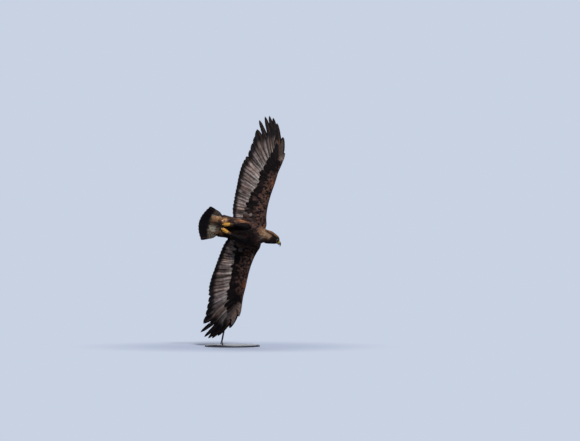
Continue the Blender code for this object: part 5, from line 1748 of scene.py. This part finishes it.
for label, side in SIDES:
    ankle = Vector(LEG_PATH[-1])
    way = (ankle - Vector(LEG_PATH[-2])).normalized()
    stem = [ankle + way * (0.0003 + place) for place, _ in FOOT_STEM]
    fused = [loose_part(tube_rings(mirrored(stem, side), [radius for _, radius in FOOT_STEM], 32, 24))]
    for name, shift, lift, yaw, first_rise, last_rise, length, radius, claw_length, claw_rise in TOES:
        root = ankle + way * TOES_FROM + Vector((0, shift, lift))
        count = len(TOE_SHAPE) - 1
        rises = np.linspace(first_rise, last_rise, count)
        toe = bent_path(root, yaw, rises, length / count)
        rings = tube_rings(mirrored(toe, side), [radius * f for f in TOE_SHAPE], 32, 48)
        middles = rings.mean(1, keepdims=True)
        s = np.linspace(0, 1, len(rings))
        pads = (1 + 0.05 * np.cos(s * 6 * math.pi)) * np.sqrt(1 - 0.62 * np.clip((s - 0.86) / 0.14, 0, 1) ** 2)
        fused.append(loose_part(middles + (rings - middles) * pads[:, None, None]))
        tip_way = (toe[-1] - toe[-2]).normalized()
        count = len(CLAW_SHAPE) - 1
        rises = np.linspace(last_rise, claw_rise, count)
        claw = bent_path(toe[-1] - tip_way * 0.0012, yaw, rises, (claw_length + 0.0012) / count)
        radii = [radius * CLAW_BASE * f for f in CLAW_SHAPE]
        shape = tube_shape(tube_rings(mirrored(claw, side), radii, 24, 40))
        piece_of(f"talon_{label}_{name}", shape, claw_look, (f"claw_{label}_{name}",))
    shape = bmesh.new()
    shape.from_mesh(baked_union(fused[0], fused[1:]))
    piece_of(f"scaled_foot_{label}", shape, foot_look, (f"foot_{label}",))


# The stand: a round, flat base and one bent rod up to the bird's back, in dark painted steel. The
# base is turned, with a soft rim and a groove round it, and a collar clamps the rod's foot.
BASE_PROFILE = (
    (0.0, 0.0),
    (0.2440, 0.0),
    (0.2485, 0.0012),
    (0.2500, 0.0035),
    (0.2500, 0.0120),
    (0.2488, 0.0148),
    (0.2460, 0.0160),
    (0.2350, 0.0160),
    (0.2340, 0.0146),
    (0.2310, 0.0146),
    (0.2300, 0.0160),
    (0.0, 0.0160),
)
COLLAR_PROFILE = (
    (0.0079, 0.0161),
    (0.0170, 0.0161),
    (0.0176, 0.0170),
    (0.0176, 0.0196),
    (0.0168, 0.0206),
    (0.0124, 0.0212),
    (0.0116, 0.0222),
    (0.0116, 0.0300),
    (0.0108, 0.0312),
    (0.0079, 0.0312),
    (0.0079, 0.0161),
)
ROD_FOOT = (-0.100, 0.150)
steel_look, tree, shader = new_look("stand_steel", 0.42)
shader.inputs["Metallic"].default_value = 0.85
grain = noise_at(tree, 900.0, 2.0)
wear = noise_at(tree, 14.0, 4.0, 0.6)
tree.links.new(mix_colour(tree, wear, from_screen(70, 72, 76), from_screen(96, 98, 102)), shader.inputs["Base Color"])
tree.links.new(sums(tree, "ADD", 0.34, sums(tree, "MULTIPLY", wear, 0.2)), shader.inputs["Roughness"])
raised(tree, shader, grain, 0.15, 0.0002)
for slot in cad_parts["stand_rod"].material_slots:
    slot.material = steel_look


def turned(profile, centre, steps):
    """A bmesh turned on a lathe from a profile of radii and heights."""
    shape = bmesh.new()
    spots = [shape.verts.new((centre[0] + radius, centre[1], height)) for radius, height in profile]
    for first, second in zip(spots, spots[1:]):
        shape.edges.new((first, second))
    whole = shape.verts[:] + shape.edges[:]
    bmesh.ops.spin(
        shape, geom=whole, axis=(0, 0, 1), cent=(*centre, 0), angle=2 * math.pi, steps=steps, use_merge=True
    )
    bmesh.ops.remove_doubles(shape, verts=shape.verts, dist=1e-6)
    bmesh.ops.recalc_face_normals(shape, faces=shape.faces)
    return shape


piece_of("turned_base", turned(BASE_PROFILE, (0, 0), 192), steel_look, ("stand_base",), None)
piece_of("rod_collar", turned(COLLAR_PROFILE, ROD_FOOT, 64), steel_look, (), None)
